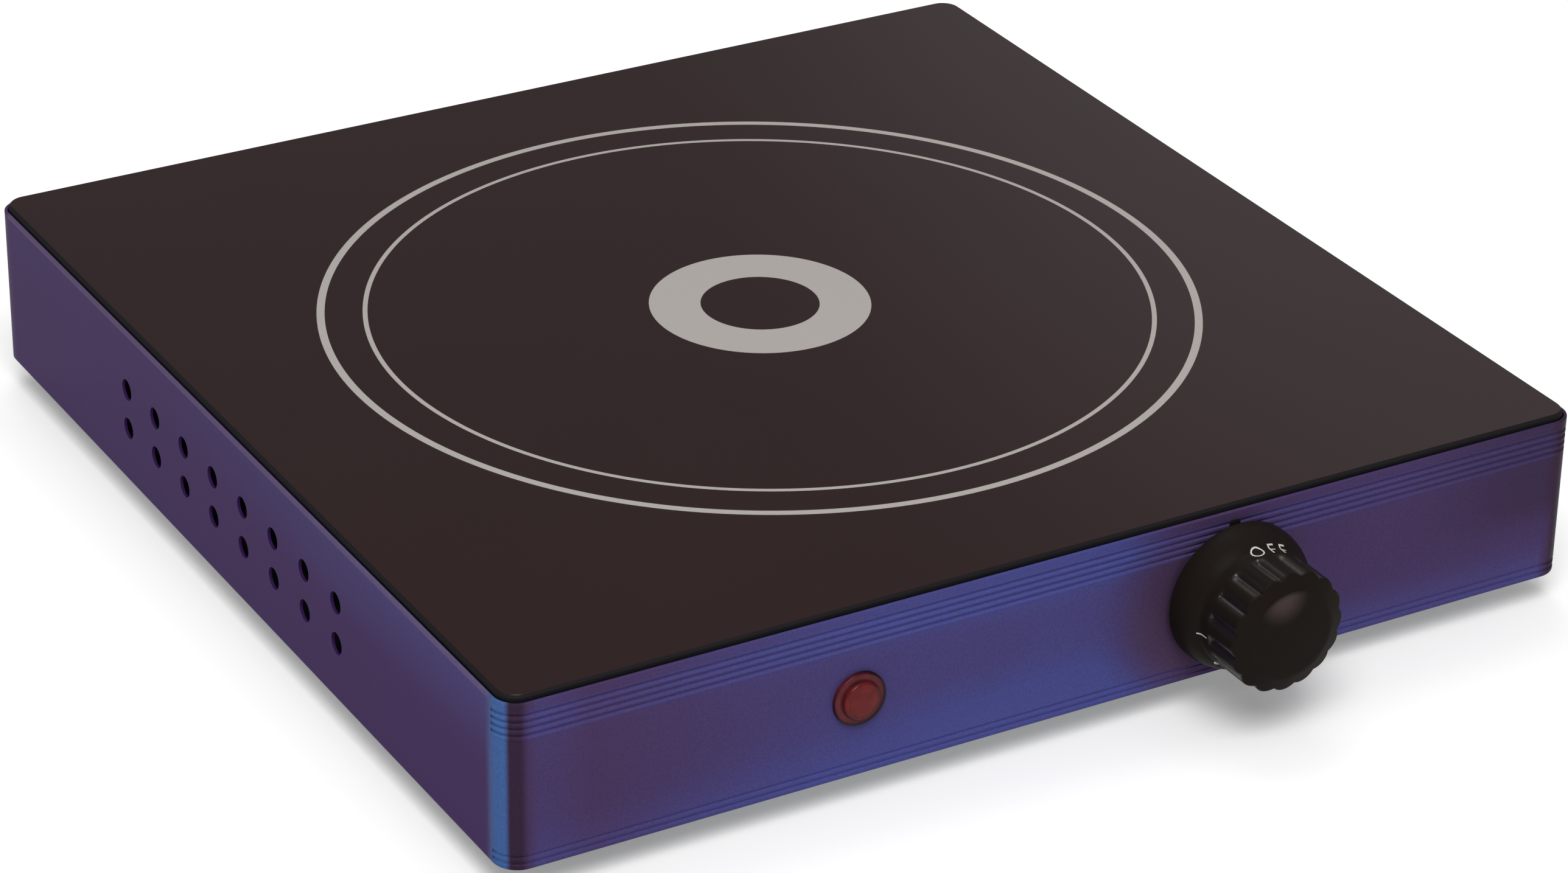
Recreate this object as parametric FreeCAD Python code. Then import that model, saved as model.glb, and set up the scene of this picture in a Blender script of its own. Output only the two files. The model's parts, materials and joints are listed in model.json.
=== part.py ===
"""Single hot plate with a glass-ceramic top, a lacquered steel housing and one knob.

Millimetres. +X runs to the right along the front, +Y to the rear, +Z up.
Shapes are drawn about the middle of the plate, with z = 0 on the table.
Each is saved moved along Y, so that the origin is under the middle of the whole object.
"""
import FreeCAD
import Part
import math
import os
from FreeCAD import Vector

# Housing: a sheet box with a folded bottom edge, open at the top
housing_width = 300.0
housing_depth = 300.0
housing_height = 44.0
housing_corner = 6.5
sheet = 0.8
bend_radius = 0.6
rim_round = 0.25
bottom_flange = 10.0

# Fine lines rolled into the front, counted from the rim and from the bottom edge
groove_radius = 0.5
groove_depth = 0.35
groove_pitch = 1.77
top_groove_drop = 3.1
top_groove_count = 4
low_groove_rise = 1.8
low_groove_count = 2

# Vent holes in both sides, set a little behind the middle
vent_radius = 2.9
vent_pitch = 17.9
vent_count = 8
vent_set_back = 1.2
vent_heights = (15.9, 27.05)

# Bottom cover, feet and their screws
base_sheet = 0.8
base_inset = 3.0
base_screw_radius = 1.75
base_screw_length = 5.0
base_screw_inset = 6.5
base_screw_spread = 90.0
slot_length = 42.0
slot_width = 3.5
slot_pitch = 11.0
slot_rows = 9
slot_column = 34.0
foot_height = 7.0
foot_top_radius = 11.0
foot_bottom_radius = 10.0
foot_inset = 26.0
foot_round = 0.8
foot_recess_radius = 4.6
foot_recess_depth = 3.8
foot_screw_radius = 2.0
foot_screw_grip = 3.0

# Glass-ceramic plate, its seal and the ledge frame under it
glass_thickness = 4.0
glass_proud = 1.6
glass_gap = 0.4
glass_bevel = 0.6
seal_thickness = 0.8
seal_width = 8.0
seal_inset = 1.0
frame_sheet = 0.8
frame_flange = 14.0
frame_leg = 8.0
weld_gap = 0.05

# Radiant heater
heater_height = 26.0
heater_margin = 37.2
pan_sheet = 0.6
pan_rim_drop = 1.5
insulation_gap = 0.2
ring_width = 10.0
ribbon_thickness = 0.4
ribbon_height = 4.0
ribbon_spacing = 7.5
ribbon_start = 12.0
ribbon_edge_gap = 5.0
ribbon_tail = 6.0
lead_radius = 1.0
lead_spread = 6.0
lead_seat = 2.0

# Temperature limiter, set on a diameter of the heater
limiter_angle = -45.0
rod_radius = 2.5
rod_clear = 1.9
rod_glass_gap = 2.5
rod_seat = 3.0
rod_overlap = 5.0
pass_gap = 0.3
seat_gap = 0.1
limiter_length = 20.0
limiter_width = 30.0
limiter_height = 16.0
limiter_round = 1.0
limiter_tab_first = 6.0
limiter_tab_pitch = 8.0

# Strap and leaf springs that hold the heater against the glass
bridge_sheet = 1.2
bridge_lift = 4.2
bridge_width = 28.0
bridge_clear = 12.8
bridge_foot_gap = 3.2
bridge_screw_radius = 1.9
bridge_screw_spread = 8.0
bridge_screw_inset = 9.5
spring_sheet = 0.8
spring_span = 60.0
spring_width = 14.0
spring_offset = 55.0
spring_gap = 0.05

# Screw heads
small_head_radius = 3.4
small_head_height = 1.8
big_head_radius = 3.9
big_head_height = 2.2
recess_width = 1.0
recess_share = 0.6
recess_depth = 0.8
thread_gap = 0.03

# Energy regulator behind the front panel, on the knob's axis
knob_side = 103.0
case_ledge_gap = 2.5
case_width = 32.0
case_height = 30.0
case_depth = 22.0
case_wall = 1.6
boss_radius = 4.0
boss_depth = 8.0
case_screw_spread = 11.0
case_screw_radius = 1.9
case_screw_length = 7.0
panel_shaft_gap = 1.0
shaft_radius = 3.0
shaft_reach = 19.5
shaft_flat = 1.7
shaft_flat_stop = 2.0
shaft_end_gap = 0.5
running_gap = 0.05
collar_radius = 5.0
collar_thickness = 1.6
collar_gap = 0.2
pivot_radius = 1.5
pivot_proud = 0.4
cam_depth = 10.0
cam_thickness = 5.0
cam_low_radius = 4.6
cam_rise = 2.5
knob_turn = 300.0
cam_top_dwell = 12.0
cam_low_dwell = 25.0
cam_step = 15.0
follower_gap = 0.3
follower_top_gap = 0.5
follower_width = 4.0
follower_nose = 1.6
guide_gap = 0.1
guide_wall = 1.5
guide_reach = 5.8
tab_count = 6
tab_pitch = 5.0
tab_drop = 10.0
tab_thickness = 0.8
tab_width = 6.3
tab_length = 9.0

# Knob, with its axis square to the front panel
knob_gap = 1.5
skirt_radius = 19.0
skirt_edge = 1.5
skirt_height = 9.0
skirt_top_radius = 16.3
grip_radius = 16.0
grip_notch_radius = 14.9
grip_lobes = 16
knob_length = 26.4
face_radius = 11.5
face_crown = 0.6
face_chamfer = 1.8
knob_wall = 1.9
face_wall = 2.2
hub_radius = 5.5
hub_gap = 3.0
hub_fit = 0.05
clip_thickness = 0.35
clip_width = 3.6
clip_length = 12.0

# Pilot lamp
lamp_side = 92.4
lamp_drop = 1.2
lens_flange_radius = 7.0
lens_flange_thickness = 1.3
lens_flange_round = 0.5
lens_radius = 5.0
lens_reach = 2.5
lens_round = 0.9
lens_wall = 0.9
lens_sleeve = 6.0
lamp_hole_gap = 0.15
lamp_body_length = 10.0
bulb_radius = 2.0
bulb_length = 14.0
bulb_reach = 6.5
bulb_gap = 0.05
push_nut_width = 3.0
push_nut_thickness = 0.5
lamp_tab_spread = 2.5
lamp_tab_width = 4.8
lamp_tab_length = 7.0

# Cord gland in the rear wall
gland_side = 50.0
gland_height = 16.0
gland_lip = 5.0
gland_lip_radius = 9.5
gland_lip_round = 1.5
gland_body_radius = 6.9
gland_inner_length = 8.0
gland_bore = 4.0
gland_hole_gap = 0.1
gland_nut_flat = 18.0
gland_nut_thickness = 4.0

# Mains terminal block on the bottom cover, and the earth stud
block_width = 36.0
block_depth = 18.0
block_height = 14.0
block_wall_gap = 27.0
pole_pitch = 10.0
pole_count = 3
pole_radius = 2.0
pole_screw_spread = 5.0
pole_screw_radius = 1.2
pole_screw_length = 3.0
block_screw_radius = 1.4
block_screw_grip = 3.0
stud_aside = 38.0
stud_before = 1.2
stud_radius = 2.0
stud_height = 12.0
stud_flange_radius = 3.8
stud_flange = 1.0
lug_radius = 4.5
lug_thickness = 1.0
lug_gap = 0.1
earth_nut_flat = 7.0
earth_nut_thickness = 3.2

# Inner wiring
wire_radius = 1.2
wire_entry = 6.0
wire_wall_gap = 15.0
wire_lane = 6.0
wire_low_rise = 5.0
wire_mid_rise = 8.2
wire_approach = 8.0
wire_bend_share = 0.45
lamp_lane_gap = 5.4
mains_level_run = 72.0
mains_drop_run = 44.0
mains_last_run = 18.0
earth_first_run = 10.8
earth_turn_run = 10.0
earth_turn_share = 0.33
earth_end_run = 5.0
earth_end_lift = 0.3
earth_end_side = 2.0

# Levels and places that follow from the sizes above
base_z = foot_height
edge_z = base_z + base_sheet
rim_z = edge_z + housing_height
glass_top_z = rim_z + glass_proud
glass_z = glass_top_z - glass_thickness
ledge_z = glass_z - seal_thickness
ledge_under_z = ledge_z - frame_sheet
pan_z = glass_z - heater_height
pan_top_z = glass_z - pan_rim_drop
disc_z = pan_z + pan_sheet
rod_z = glass_z - rod_glass_gap - rod_radius
disc_top_z = rod_z - rod_radius - rod_clear - ribbon_height
lead_z = disc_top_z + ribbon_height / 2
bridge_z = edge_z + bridge_lift
bridge_top_z = bridge_z + bridge_sheet
front_y = -housing_depth / 2
rear_y = housing_depth / 2
inner_width = housing_width - 2 * sheet
inner_depth = housing_depth - 2 * sheet
knob_x = housing_width / 2 - knob_side
knob_z = ledge_under_z - case_ledge_gap - case_height / 2
lamp_x = -housing_width / 2 + lamp_side
lamp_z = knob_z - lamp_drop
gland_x = housing_width / 2 - gland_side
gland_z = edge_z + gland_height
pan_radius = min(inner_width, inner_depth) / 2 - heater_margin
insulation_radius = pan_radius - pan_sheet - insulation_gap
ring_inner_radius = insulation_radius - ring_width
ribbon_room = ring_inner_radius - ribbon_edge_gap - ribbon_start - ribbon_spacing
ribbon_half_turns = 2 * int(ribbon_room / (2 * ribbon_spacing))
limiter_x = pan_radius + seat_gap
block_y = rear_y - block_wall_gap - block_depth / 2 - sheet
pole_z = edge_z + block_height / 2
stud_x = gland_x - stud_aside
stud_y = block_y - stud_before
foot_x = housing_width / 2 - foot_inset
foot_y = housing_depth / 2 - foot_inset
plate_y = (knob_length - gland_lip) / 2
Z_AXIS = Vector(0, 0, 1)
Y_AXIS = Vector(0, 1, 0)
ORIGIN = Vector(0, 0, 0)


def block(x0, x1, y0, y1, z0, z1):
    """Square block between two corners."""
    return Part.makeBox(x1 - x0, y1 - y0, z1 - z0, Vector(x0, y0, z0))


def rounded_block(width, depth, radius, z0, z1):
    """Block about the Z axis with its four upright edges rounded."""
    plain = block(-width / 2, width / 2, -depth / 2, depth / 2, z0, z1)
    upright = [e for e in plain.Edges if abs(e.Vertexes[0].Z - e.Vertexes[-1].Z) > (z1 - z0) / 2]
    return plain.makeFillet(radius, upright)


def edges_at(shape, z):
    """Edges of a shape that lie flat at one height."""
    return [e for e in shape.Edges if abs(e.BoundBox.ZMin - z) + abs(e.BoundBox.ZMax - z) < 1e-4]


def disc(radius, x, y, z0, z1):
    """Upright cylinder between two heights."""
    return Part.makeCylinder(radius, z1 - z0, Vector(x, y, z0))


def prism(points, length):
    """Outline in the XZ plane carried along +Y from -length / 2 to length / 2."""
    corners = [Vector(x, -length / 2, z) for x, z in points]
    face = Part.Face(Part.makePolygon(corners + corners[:1]))
    return face.extrude(Vector(0, length, 0))


def hexagon(flat, x, y, z0, z1):
    """Upright six-sided block, given across its flats."""
    reach = flat / math.sqrt(3)
    angles = [math.radians(60 * i) for i in range(7)]
    corners = [Vector(x + reach * math.cos(a), y + reach * math.sin(a), z0) for a in angles]
    return Part.Face(Part.makePolygon(corners)).extrude(Vector(0, 0, z1 - z0))


def turned(points):
    """Solid turned about the Z axis from an outline of (radius, height) corners."""
    corners = [Vector(r, 0, z) for r, z in points]
    face = Part.Face(Part.makePolygon(corners + corners[:1]))
    return face.revolve(ORIGIN, Z_AXIS, 360)


def screw(seat, direction, radius, length, head_radius, head_height):
    """Cross-recessed screw whose head bears on the seat, with its shank along the direction."""
    head = disc(head_radius, 0, 0, -head_height, 0)
    head = head.makeFillet(head_height / 2, edges_at(head, -head_height))
    low = -head_height
    wing = head_radius * recess_share
    half = recess_width / 2
    cross = [
        block(-wing, wing, -half, half, low, low + recess_depth),
        block(-half, half, -wing, wing, low, low + recess_depth),
    ]
    body = head.cut(cross).fuse(disc(radius, 0, 0, 0, length)).removeSplitter()
    body.Placement = FreeCAD.Placement(seat, FreeCAD.Rotation(Z_AXIS, direction))
    return body


def on_front(shape, x, z):
    """Turns a shape drawn with +Z out of the panel and +Y up, and puts it on the front."""
    placed = shape.copy()
    placed.rotate(ORIGIN, Vector(1, 0, 0), 90)
    placed.translate(Vector(x, front_y, z))
    return placed


def at_limiter(shape):
    """Turns a shape drawn along +X to the limiter's direction."""
    placed = shape.copy()
    placed.rotate(ORIGIN, Z_AXIS, limiter_angle)
    return placed


def at_limiter_point(x, y, z):
    """Point in the limiter's own directions, as a point of the plate."""
    return FreeCAD.Rotation(Z_AXIS, limiter_angle).multVec(Vector(x, y, z))


# Housing and bottom cover


def base_screw_points():
    """Two screws along each side of the bottom edge."""
    x = housing_width / 2 - base_screw_inset
    y = housing_depth / 2 - base_screw_inset
    along = (-base_screw_spread, base_screw_spread)
    sides = [(sx * x, s) for sx in (-1, 1) for s in along]
    ends = [(s, sy * y) for sy in (-1, 1) for s in along]
    return sides + ends


def foot_points():
    """Middle of each foot, by name."""
    return {
        "foot_front_left": (-foot_x, -foot_y),
        "foot_front_right": (foot_x, -foot_y),
        "foot_rear_left": (-foot_x, foot_y),
        "foot_rear_right": (foot_x, foot_y),
    }


def groove_heights():
    """Heights of the fine lines on the front."""
    top = [rim_z - top_groove_drop - i * groove_pitch for i in range(top_groove_count)]
    low = [edge_z + low_groove_rise + i * groove_pitch for i in range(low_groove_count)]
    return top + low


def front_groove(z):
    """Half-round line along the front and round both front corners."""
    out = groove_radius - groove_depth
    reach = housing_width / 2 - housing_corner
    start = Vector(-reach, front_y - out, z)
    straight = Part.makeCylinder(groove_radius, 2 * reach, start, Vector(1, 0, 0))
    pieces = [straight]
    for side in (-1, 1):
        centre = Vector(side * reach, front_y + housing_corner, z)
        ring = Part.makeCircle(groove_radius, Vector(side * reach, front_y - out, z), Vector(1, 0, 0))
        bend = Part.Face(Part.Wire(ring)).revolve(centre, Z_AXIS, side * 90)
        pieces.append(bend)
    return pieces


def make_housing():
    outer = rounded_block(housing_width, housing_depth, housing_corner, edge_z, rim_z)
    outer = outer.makeFillet(bend_radius, edges_at(outer, edge_z))
    outer = outer.makeFillet(rim_round, edges_at(outer, rim_z))
    corner = housing_corner - sheet
    hollow = rounded_block(inner_width, inner_depth, corner, edge_z + sheet, rim_z + sheet)
    mouth_width = housing_width - 2 * bottom_flange
    mouth_depth = housing_depth - 2 * bottom_flange
    mouth = rounded_block(mouth_width, mouth_depth, corner, edge_z - sheet, edge_z + 2 * sheet)
    cuts = [hollow, mouth]
    for z in groove_heights():
        cuts += front_groove(z)
    for rise in vent_heights:
        for i in range(vent_count):
            y = vent_set_back + (i - (vent_count - 1) / 2) * vent_pitch
            start = Vector(-housing_width, y, edge_z + rise)
            cuts.append(Part.makeCylinder(vent_radius, 2 * housing_width, start, Vector(1, 0, 0)))
    for x, y in base_screw_points():
        cuts.append(disc(base_screw_radius + thread_gap, x, y, edge_z - sheet, edge_z + 2 * sheet))
    holes = [disc(shaft_radius + panel_shaft_gap, 0, 0, -2 * sheet, sheet)]
    for side in (-1, 1):
        x = side * case_screw_spread
        holes.append(disc(case_screw_radius + seat_gap, x, 0, -2 * sheet, sheet))
    cuts += [on_front(h, knob_x, knob_z) for h in holes]
    lamp_hole = disc(lens_radius + lamp_hole_gap, 0, 0, -2 * sheet, sheet)
    cuts.append(on_front(lamp_hole, lamp_x, lamp_z))
    gland_start = Vector(gland_x, rear_y - 2 * sheet, gland_z)
    cuts.append(Part.makeCylinder(gland_body_radius + gland_hole_gap, 3 * sheet, gland_start, Y_AXIS))
    return outer.cut(cuts)


def vent_slot(x, y):
    """Slot with round ends through the bottom cover, along X."""
    half = slot_length / 2 - slot_width / 2
    low = base_z - base_sheet
    high = edge_z + base_sheet
    bar = block(x - half, x + half, y - slot_width / 2, y + slot_width / 2, low, high)
    ends = [disc(slot_width / 2, x + s * half, y, low, high) for s in (-1, 1)]
    return bar.fuse(ends)


def block_screw_points():
    """Screws of the terminal block, between its poles."""
    return [(gland_x + s * pole_pitch / 2, block_y) for s in (-1, 1)]


def make_base_plate():
    width = housing_width - 2 * base_inset
    depth = housing_depth - 2 * base_inset
    plate = rounded_block(width, depth, housing_corner - base_inset, base_z, edge_z)
    low = base_z - base_sheet
    high = edge_z + base_sheet
    cuts = [disc(base_screw_radius + seat_gap, x, y, low, high) for x, y in base_screw_points()]
    for x, y in foot_points().values():
        cuts.append(disc(foot_screw_radius + thread_gap, x, y, low, high))
    for x, y in block_screw_points():
        cuts.append(disc(block_screw_radius + thread_gap, x, y, low, high))
    for row in range(slot_rows):
        y = (row - (slot_rows - 1) / 2) * slot_pitch
        cuts += [vent_slot(side * slot_column, y) for side in (-1, 1)]
    return plate.cut(cuts)


def make_base_screws():
    made = []
    for x, y in base_screw_points():
        seat = Vector(x, y, base_z)
        length = base_screw_length
        made.append(screw(seat, Z_AXIS, base_screw_radius, length, small_head_radius, small_head_height))
    return Part.makeCompound(made)


def make_foot(x, y):
    cone = Part.makeCone(foot_bottom_radius, foot_top_radius, foot_height, Vector(x, y, 0))
    cone = cone.makeFillet(foot_round, edges_at(cone, 0))
    recess = disc(foot_recess_radius, x, y, -foot_round, foot_recess_depth)
    hole = disc(foot_screw_radius + seat_gap, x, y, 0, foot_height + foot_round)
    return cone.cut([recess, hole])


def make_foot_screws():
    length = foot_height - foot_recess_depth + base_sheet + foot_screw_grip
    made = []
    for x, y in foot_points().values():
        seat = Vector(x, y, foot_recess_depth)
        made.append(screw(seat, Z_AXIS, foot_screw_radius, length, big_head_radius, big_head_height))
    return Part.makeCompound(made)


# Glass, seal and ledge frame


def make_glass():
    width = inner_width - 2 * glass_gap
    depth = inner_depth - 2 * glass_gap
    corner = housing_corner - sheet - glass_gap
    plate = rounded_block(width, depth, corner, glass_z, glass_top_z)
    return plate.makeChamfer(glass_bevel, edges_at(plate, glass_top_z))


def make_seal():
    inset = glass_gap + seal_inset
    corner = housing_corner - sheet - inset
    width = inner_width - 2 * inset
    depth = inner_depth - 2 * inset
    outer = rounded_block(width, depth, corner, ledge_z, glass_z)
    hole = rounded_block(width - 2 * seal_width, depth - 2 * seal_width, corner, ledge_z, glass_z)
    return outer.cut(hole)


def bridge_screw_points():
    """Two screws through each end of the strap into the ledge."""
    x = inner_width / 2 - bridge_screw_inset
    return [(sx * x, s) for sx in (-1, 1) for s in (-bridge_screw_spread, bridge_screw_spread)]


def make_glass_frame():
    width = inner_width - 2 * weld_gap
    depth = inner_depth - 2 * weld_gap
    corner = housing_corner - sheet - weld_gap
    low = ledge_z - frame_leg
    outer = rounded_block(width, depth, corner, low, ledge_z)
    inside = 2 * frame_sheet
    below = rounded_block(width - inside, depth - inside, corner - frame_sheet, low, ledge_under_z)
    mouth = 2 * frame_flange
    opening = rounded_block(width - mouth, depth - mouth, corner, low, ledge_z)
    half = case_width / 2 + pass_gap
    notch = block(knob_x - half, knob_x + half, front_y, -depth / 2 + 2 * frame_sheet, low, ledge_under_z)
    cuts = [below, opening, notch]
    for x, y in bridge_screw_points():
        cuts.append(disc(bridge_screw_radius + thread_gap, x, y, ledge_under_z, ledge_z))
    return outer.cut(cuts)


# Heater


def make_pan():
    cup = disc(pan_radius, 0, 0, pan_z, pan_top_z)
    inside = disc(pan_radius - pan_sheet, 0, 0, disc_z, pan_top_z)
    cuts = [inside, at_limiter(rod_passage(0))] + [at_limiter(p) for p in lead_passages()]
    return cup.cut(cuts)


def make_insulation_disc():
    return disc(insulation_radius, 0, 0, disc_z, disc_top_z)


def make_insulation_ring():
    ring = disc(insulation_radius, 0, 0, disc_top_z, glass_z)
    cuts = [disc(ring_inner_radius, 0, 0, disc_top_z, glass_z)]
    cuts.append(at_limiter(rod_passage(-ring_inner_radius - rod_overlap - pass_gap)))
    cuts += [at_limiter(p) for p in lead_passages()]
    return ring.cut(cuts)


def rod_passage(start):
    """Slot, open upwards, that the limiter rod lies in."""
    radius = rod_radius + pass_gap
    length = pan_radius - start
    hole = Part.makeCylinder(radius, length, Vector(start, 0, rod_z), Vector(1, 0, 0))
    return hole.fuse(block(start, pan_radius, -radius, radius, rod_z, glass_z))


def lead_passages():
    """Holes that the two heater leads go through."""
    radius = lead_radius + pass_gap
    starts = [Vector(ring_inner_radius / 2, s * lead_spread, lead_z) for s in (-1, 1)]
    return [Part.makeCylinder(radius, pan_radius, start, Vector(1, 0, 0)) for start in starts]


def crossing(i):
    """Distance from the middle at which the ribbon's half turns cross the X axis."""
    return ribbon_start + i * ribbon_spacing


def half_turn(i):
    """Centre and radius of one half turn of the outward spiral."""
    side = 1 if i % 2 == 0 else -1
    centre = side * (crossing(i) - crossing(i + 1)) / 2
    return centre, (crossing(i) + crossing(i + 1)) / 2


def ribbon_path():
    """Arcs (centre x, radius, start angle, sweep) of two spirals joined by an S in the middle."""
    arcs = []
    for i in range(ribbon_half_turns, -1, -1):
        centre, radius = half_turn(i)
        arcs.append((-centre, radius, 360 if i % 2 == 0 else 180, -180))
    arcs.append((-ribbon_start / 2, ribbon_start / 2, 180, -180))
    arcs.append((ribbon_start / 2, ribbon_start / 2, 180, 180))
    for i in range(ribbon_half_turns):
        centre, radius = half_turn(i)
        arcs.append((centre, radius, 0 if i % 2 == 0 else 180, 180))
    centre, radius = half_turn(ribbon_half_turns)
    arcs.append((centre, radius, 0, ribbon_tail))
    return arcs


def ribbon_side(offset):
    """Edge of the ribbon at a distance to the left of its path."""
    edges = []
    for centre, radius, start, sweep in ribbon_path():
        away = radius - math.copysign(offset, sweep * offset)
        turns = [math.radians(start + sweep * share) for share in (0, 0.5, 1)]
        points = [
            Vector(centre + away * math.cos(a), away * math.sin(a), disc_top_z) for a in turns
        ]
        edges.append(Part.Arc(*points).toShape())
    return edges


def make_ribbon():
    left = ribbon_side(ribbon_thickness / 2)
    right = ribbon_side(-ribbon_thickness / 2)
    start = Part.makeLine(left[0].valueAt(left[0].FirstParameter), right[0].valueAt(right[0].FirstParameter))
    end = Part.makeLine(left[-1].valueAt(left[-1].LastParameter), right[-1].valueAt(right[-1].LastParameter))
    outline = Part.Wire(Part.__sortEdges__(left + [end] + right + [start]))
    return at_limiter(Part.Face(outline).extrude(Vector(0, 0, ribbon_height)))


def make_heater_leads():
    """Pins from the ribbon's two ends, through the pan's wall, to the limiter."""
    centre, radius = half_turn(ribbon_half_turns)
    reach = math.sqrt((radius + ribbon_thickness / 2) ** 2 - (lead_spread - lead_radius) ** 2)
    end = limiter_x + lead_seat
    pins = []
    for side in (-1, 1):
        start = side * centre + reach
        foot = Vector(start, side * lead_spread, lead_z)
        pins.append(Part.makeCylinder(lead_radius, end - start, foot, Vector(1, 0, 0)))
    return at_limiter(Part.makeCompound(pins))


def make_limiter_rod():
    start = -ring_inner_radius - rod_overlap
    end = limiter_x + rod_seat
    rod = Part.makeCylinder(rod_radius, end - start, Vector(start, 0, rod_z), Vector(1, 0, 0))
    return at_limiter(rod)


def limiter_tab_xs():
    """Places of the limiter's tabs along its length."""
    return [limiter_x + limiter_tab_first + i * limiter_tab_pitch for i in range(2)]


def make_limiter_head():
    half = limiter_width / 2
    low = pan_top_z - limiter_height
    body = block(limiter_x, limiter_x + limiter_length, -half, half, low, pan_top_z)
    upright = [e for e in body.Edges if abs(e.Vertexes[0].Z - e.Vertexes[-1].Z) > limiter_round]
    body = body.makeFillet(limiter_round, upright)
    start = Vector(limiter_x, 0, rod_z)
    cuts = [Part.makeCylinder(rod_radius + seat_gap, rod_seat + seat_gap, start, Vector(1, 0, 0))]
    for side in (-1, 1):
        start = Vector(limiter_x, side * lead_spread, lead_z)
        cuts.append(Part.makeCylinder(lead_radius + seat_gap, lead_seat + seat_gap, start, Vector(1, 0, 0)))
    return at_limiter(body.cut(cuts))


def make_limiter_tabs():
    half = limiter_width / 2
    middle = pan_top_z - limiter_height / 2
    tabs = []
    for x in limiter_tab_xs():
        ends = (x - tab_thickness / 2, x + tab_thickness / 2, -half - tab_length, -half)
        tabs.append(block(*ends, middle - tab_width / 2, middle + tab_width / 2))
    return at_limiter(Part.makeCompound(tabs))


def make_bridge():
    """Strap bent like a hat: flat under the heater, up at both sides, out under the ledge."""
    leg = pan_radius + bridge_clear
    tip = inner_width / 2 - bridge_foot_gap
    low = ledge_under_z - bridge_sheet
    right = [
        (leg + bridge_sheet, bridge_z),
        (leg + bridge_sheet, low),
        (tip, low),
        (tip, ledge_under_z),
        (leg, ledge_under_z),
        (leg, bridge_top_z),
    ]
    left = [(-x, z) for x, z in reversed(right)]
    strap = prism(right + left, bridge_width)
    holes = [
        disc(bridge_screw_radius + seat_gap, x, y, low, ledge_under_z) for x, y in bridge_screw_points()
    ]
    return strap.cut(holes)


def make_bridge_screws():
    seat_z = ledge_under_z - bridge_sheet
    length = bridge_sheet + frame_sheet
    made = []
    for x, y in bridge_screw_points():
        seat = Vector(x, y, seat_z)
        made.append(screw(seat, Z_AXIS, bridge_screw_radius, length, small_head_radius, small_head_height))
    return Part.makeCompound(made)


def make_pan_spring(side):
    """Bowed leaf between the strap and the pan's bottom."""
    rise = pan_z - bridge_top_z - spring_gap
    radius = ((spring_span / 2) ** 2 + rise ** 2) / (2 * rise)
    middle = Vector(side * spring_offset, -spring_width / 2, bridge_top_z + rise - radius)
    bow = Part.makeCylinder(radius, spring_width, middle, Y_AXIS)
    bow = bow.cut(Part.makeCylinder(radius - spring_sheet, spring_width, middle, Y_AXIS))
    x = side * spring_offset
    keep = block(x - spring_span, x + spring_span, -spring_width, spring_width, bridge_top_z, pan_z)
    return bow.common(keep)


# Regulator, drawn with +Z out of the panel, +Y up and the panel's face at z = 0

case_front = -sheet
case_rear = case_front - case_depth
cover_rear = case_rear - case_wall
cam_front = case_front - cam_depth
cam_rear = cam_front - cam_thickness
guide_top = case_height / 2 - case_wall


def make_case():
    half_x = case_width / 2
    half_y = case_height / 2
    body = block(-half_x, half_x, -half_y, half_y, case_rear, case_front)
    inside_x = half_x - case_wall
    inside_y = half_y - case_wall
    floor = case_front - case_wall
    body = body.cut(block(-inside_x, inside_x, -inside_y, inside_y, case_rear, floor))
    added = [disc(boss_radius, s * case_screw_spread, 0, floor - boss_depth, floor) for s in (-1, 1)]
    inner = follower_width / 2 + guide_gap
    for side in (-1, 1):
        x0, x1 = sorted((side * inner, side * (inner + guide_wall)))
        added.append(block(x0, x1, guide_top - guide_reach, guide_top, cam_rear, floor))
    body = body.fuse(added)
    cuts = [disc(shaft_radius + running_gap, 0, 0, floor, case_front)]
    for side in (-1, 1):
        x = side * case_screw_spread
        cuts.append(disc(case_screw_radius + thread_gap, x, 0, floor - boss_depth, case_front))
    return on_front(body.cut(cuts), knob_x, knob_z)


def make_case_cover():
    half_x = case_width / 2
    half_y = case_height / 2
    plate = block(-half_x, half_x, -half_y, half_y, cover_rear, case_rear)
    hole = disc(pivot_radius + running_gap, 0, 0, cover_rear, case_rear)
    return on_front(plate.cut(hole), knob_x, knob_z)


def make_case_screws():
    made = []
    for side in (-1, 1):
        seat = Vector(side * case_screw_spread, 0, 0)
        length = case_screw_length
        inward = Vector(0, 0, -1)
        made.append(screw(seat, inward, case_screw_radius, length, small_head_radius, small_head_height))
    return on_front(Part.makeCompound(made), knob_x, knob_z)


def make_shaft():
    floor = case_front - case_wall
    rear = case_rear + shaft_end_gap
    rod = disc(shaft_radius, 0, 0, rear, shaft_reach)
    flat = block(-shaft_radius, shaft_radius, shaft_flat, shaft_radius, shaft_flat_stop, shaft_reach)
    rod = rod.cut(flat)
    collar_front = floor - collar_gap
    collar = disc(collar_radius, 0, 0, collar_front - collar_thickness, collar_front)
    pivot = disc(pivot_radius, 0, 0, cover_rear - pivot_proud, rear)
    return on_front(rod.fuse([collar, pivot]).removeSplitter(), knob_x, knob_z)


def cam_point(angle, radius):
    """Point of the cam's edge: the angle runs from straight up towards -X."""
    turn = math.radians(angle)
    return Vector(-radius * math.sin(turn), radius * math.cos(turn), cam_rear)


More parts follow.
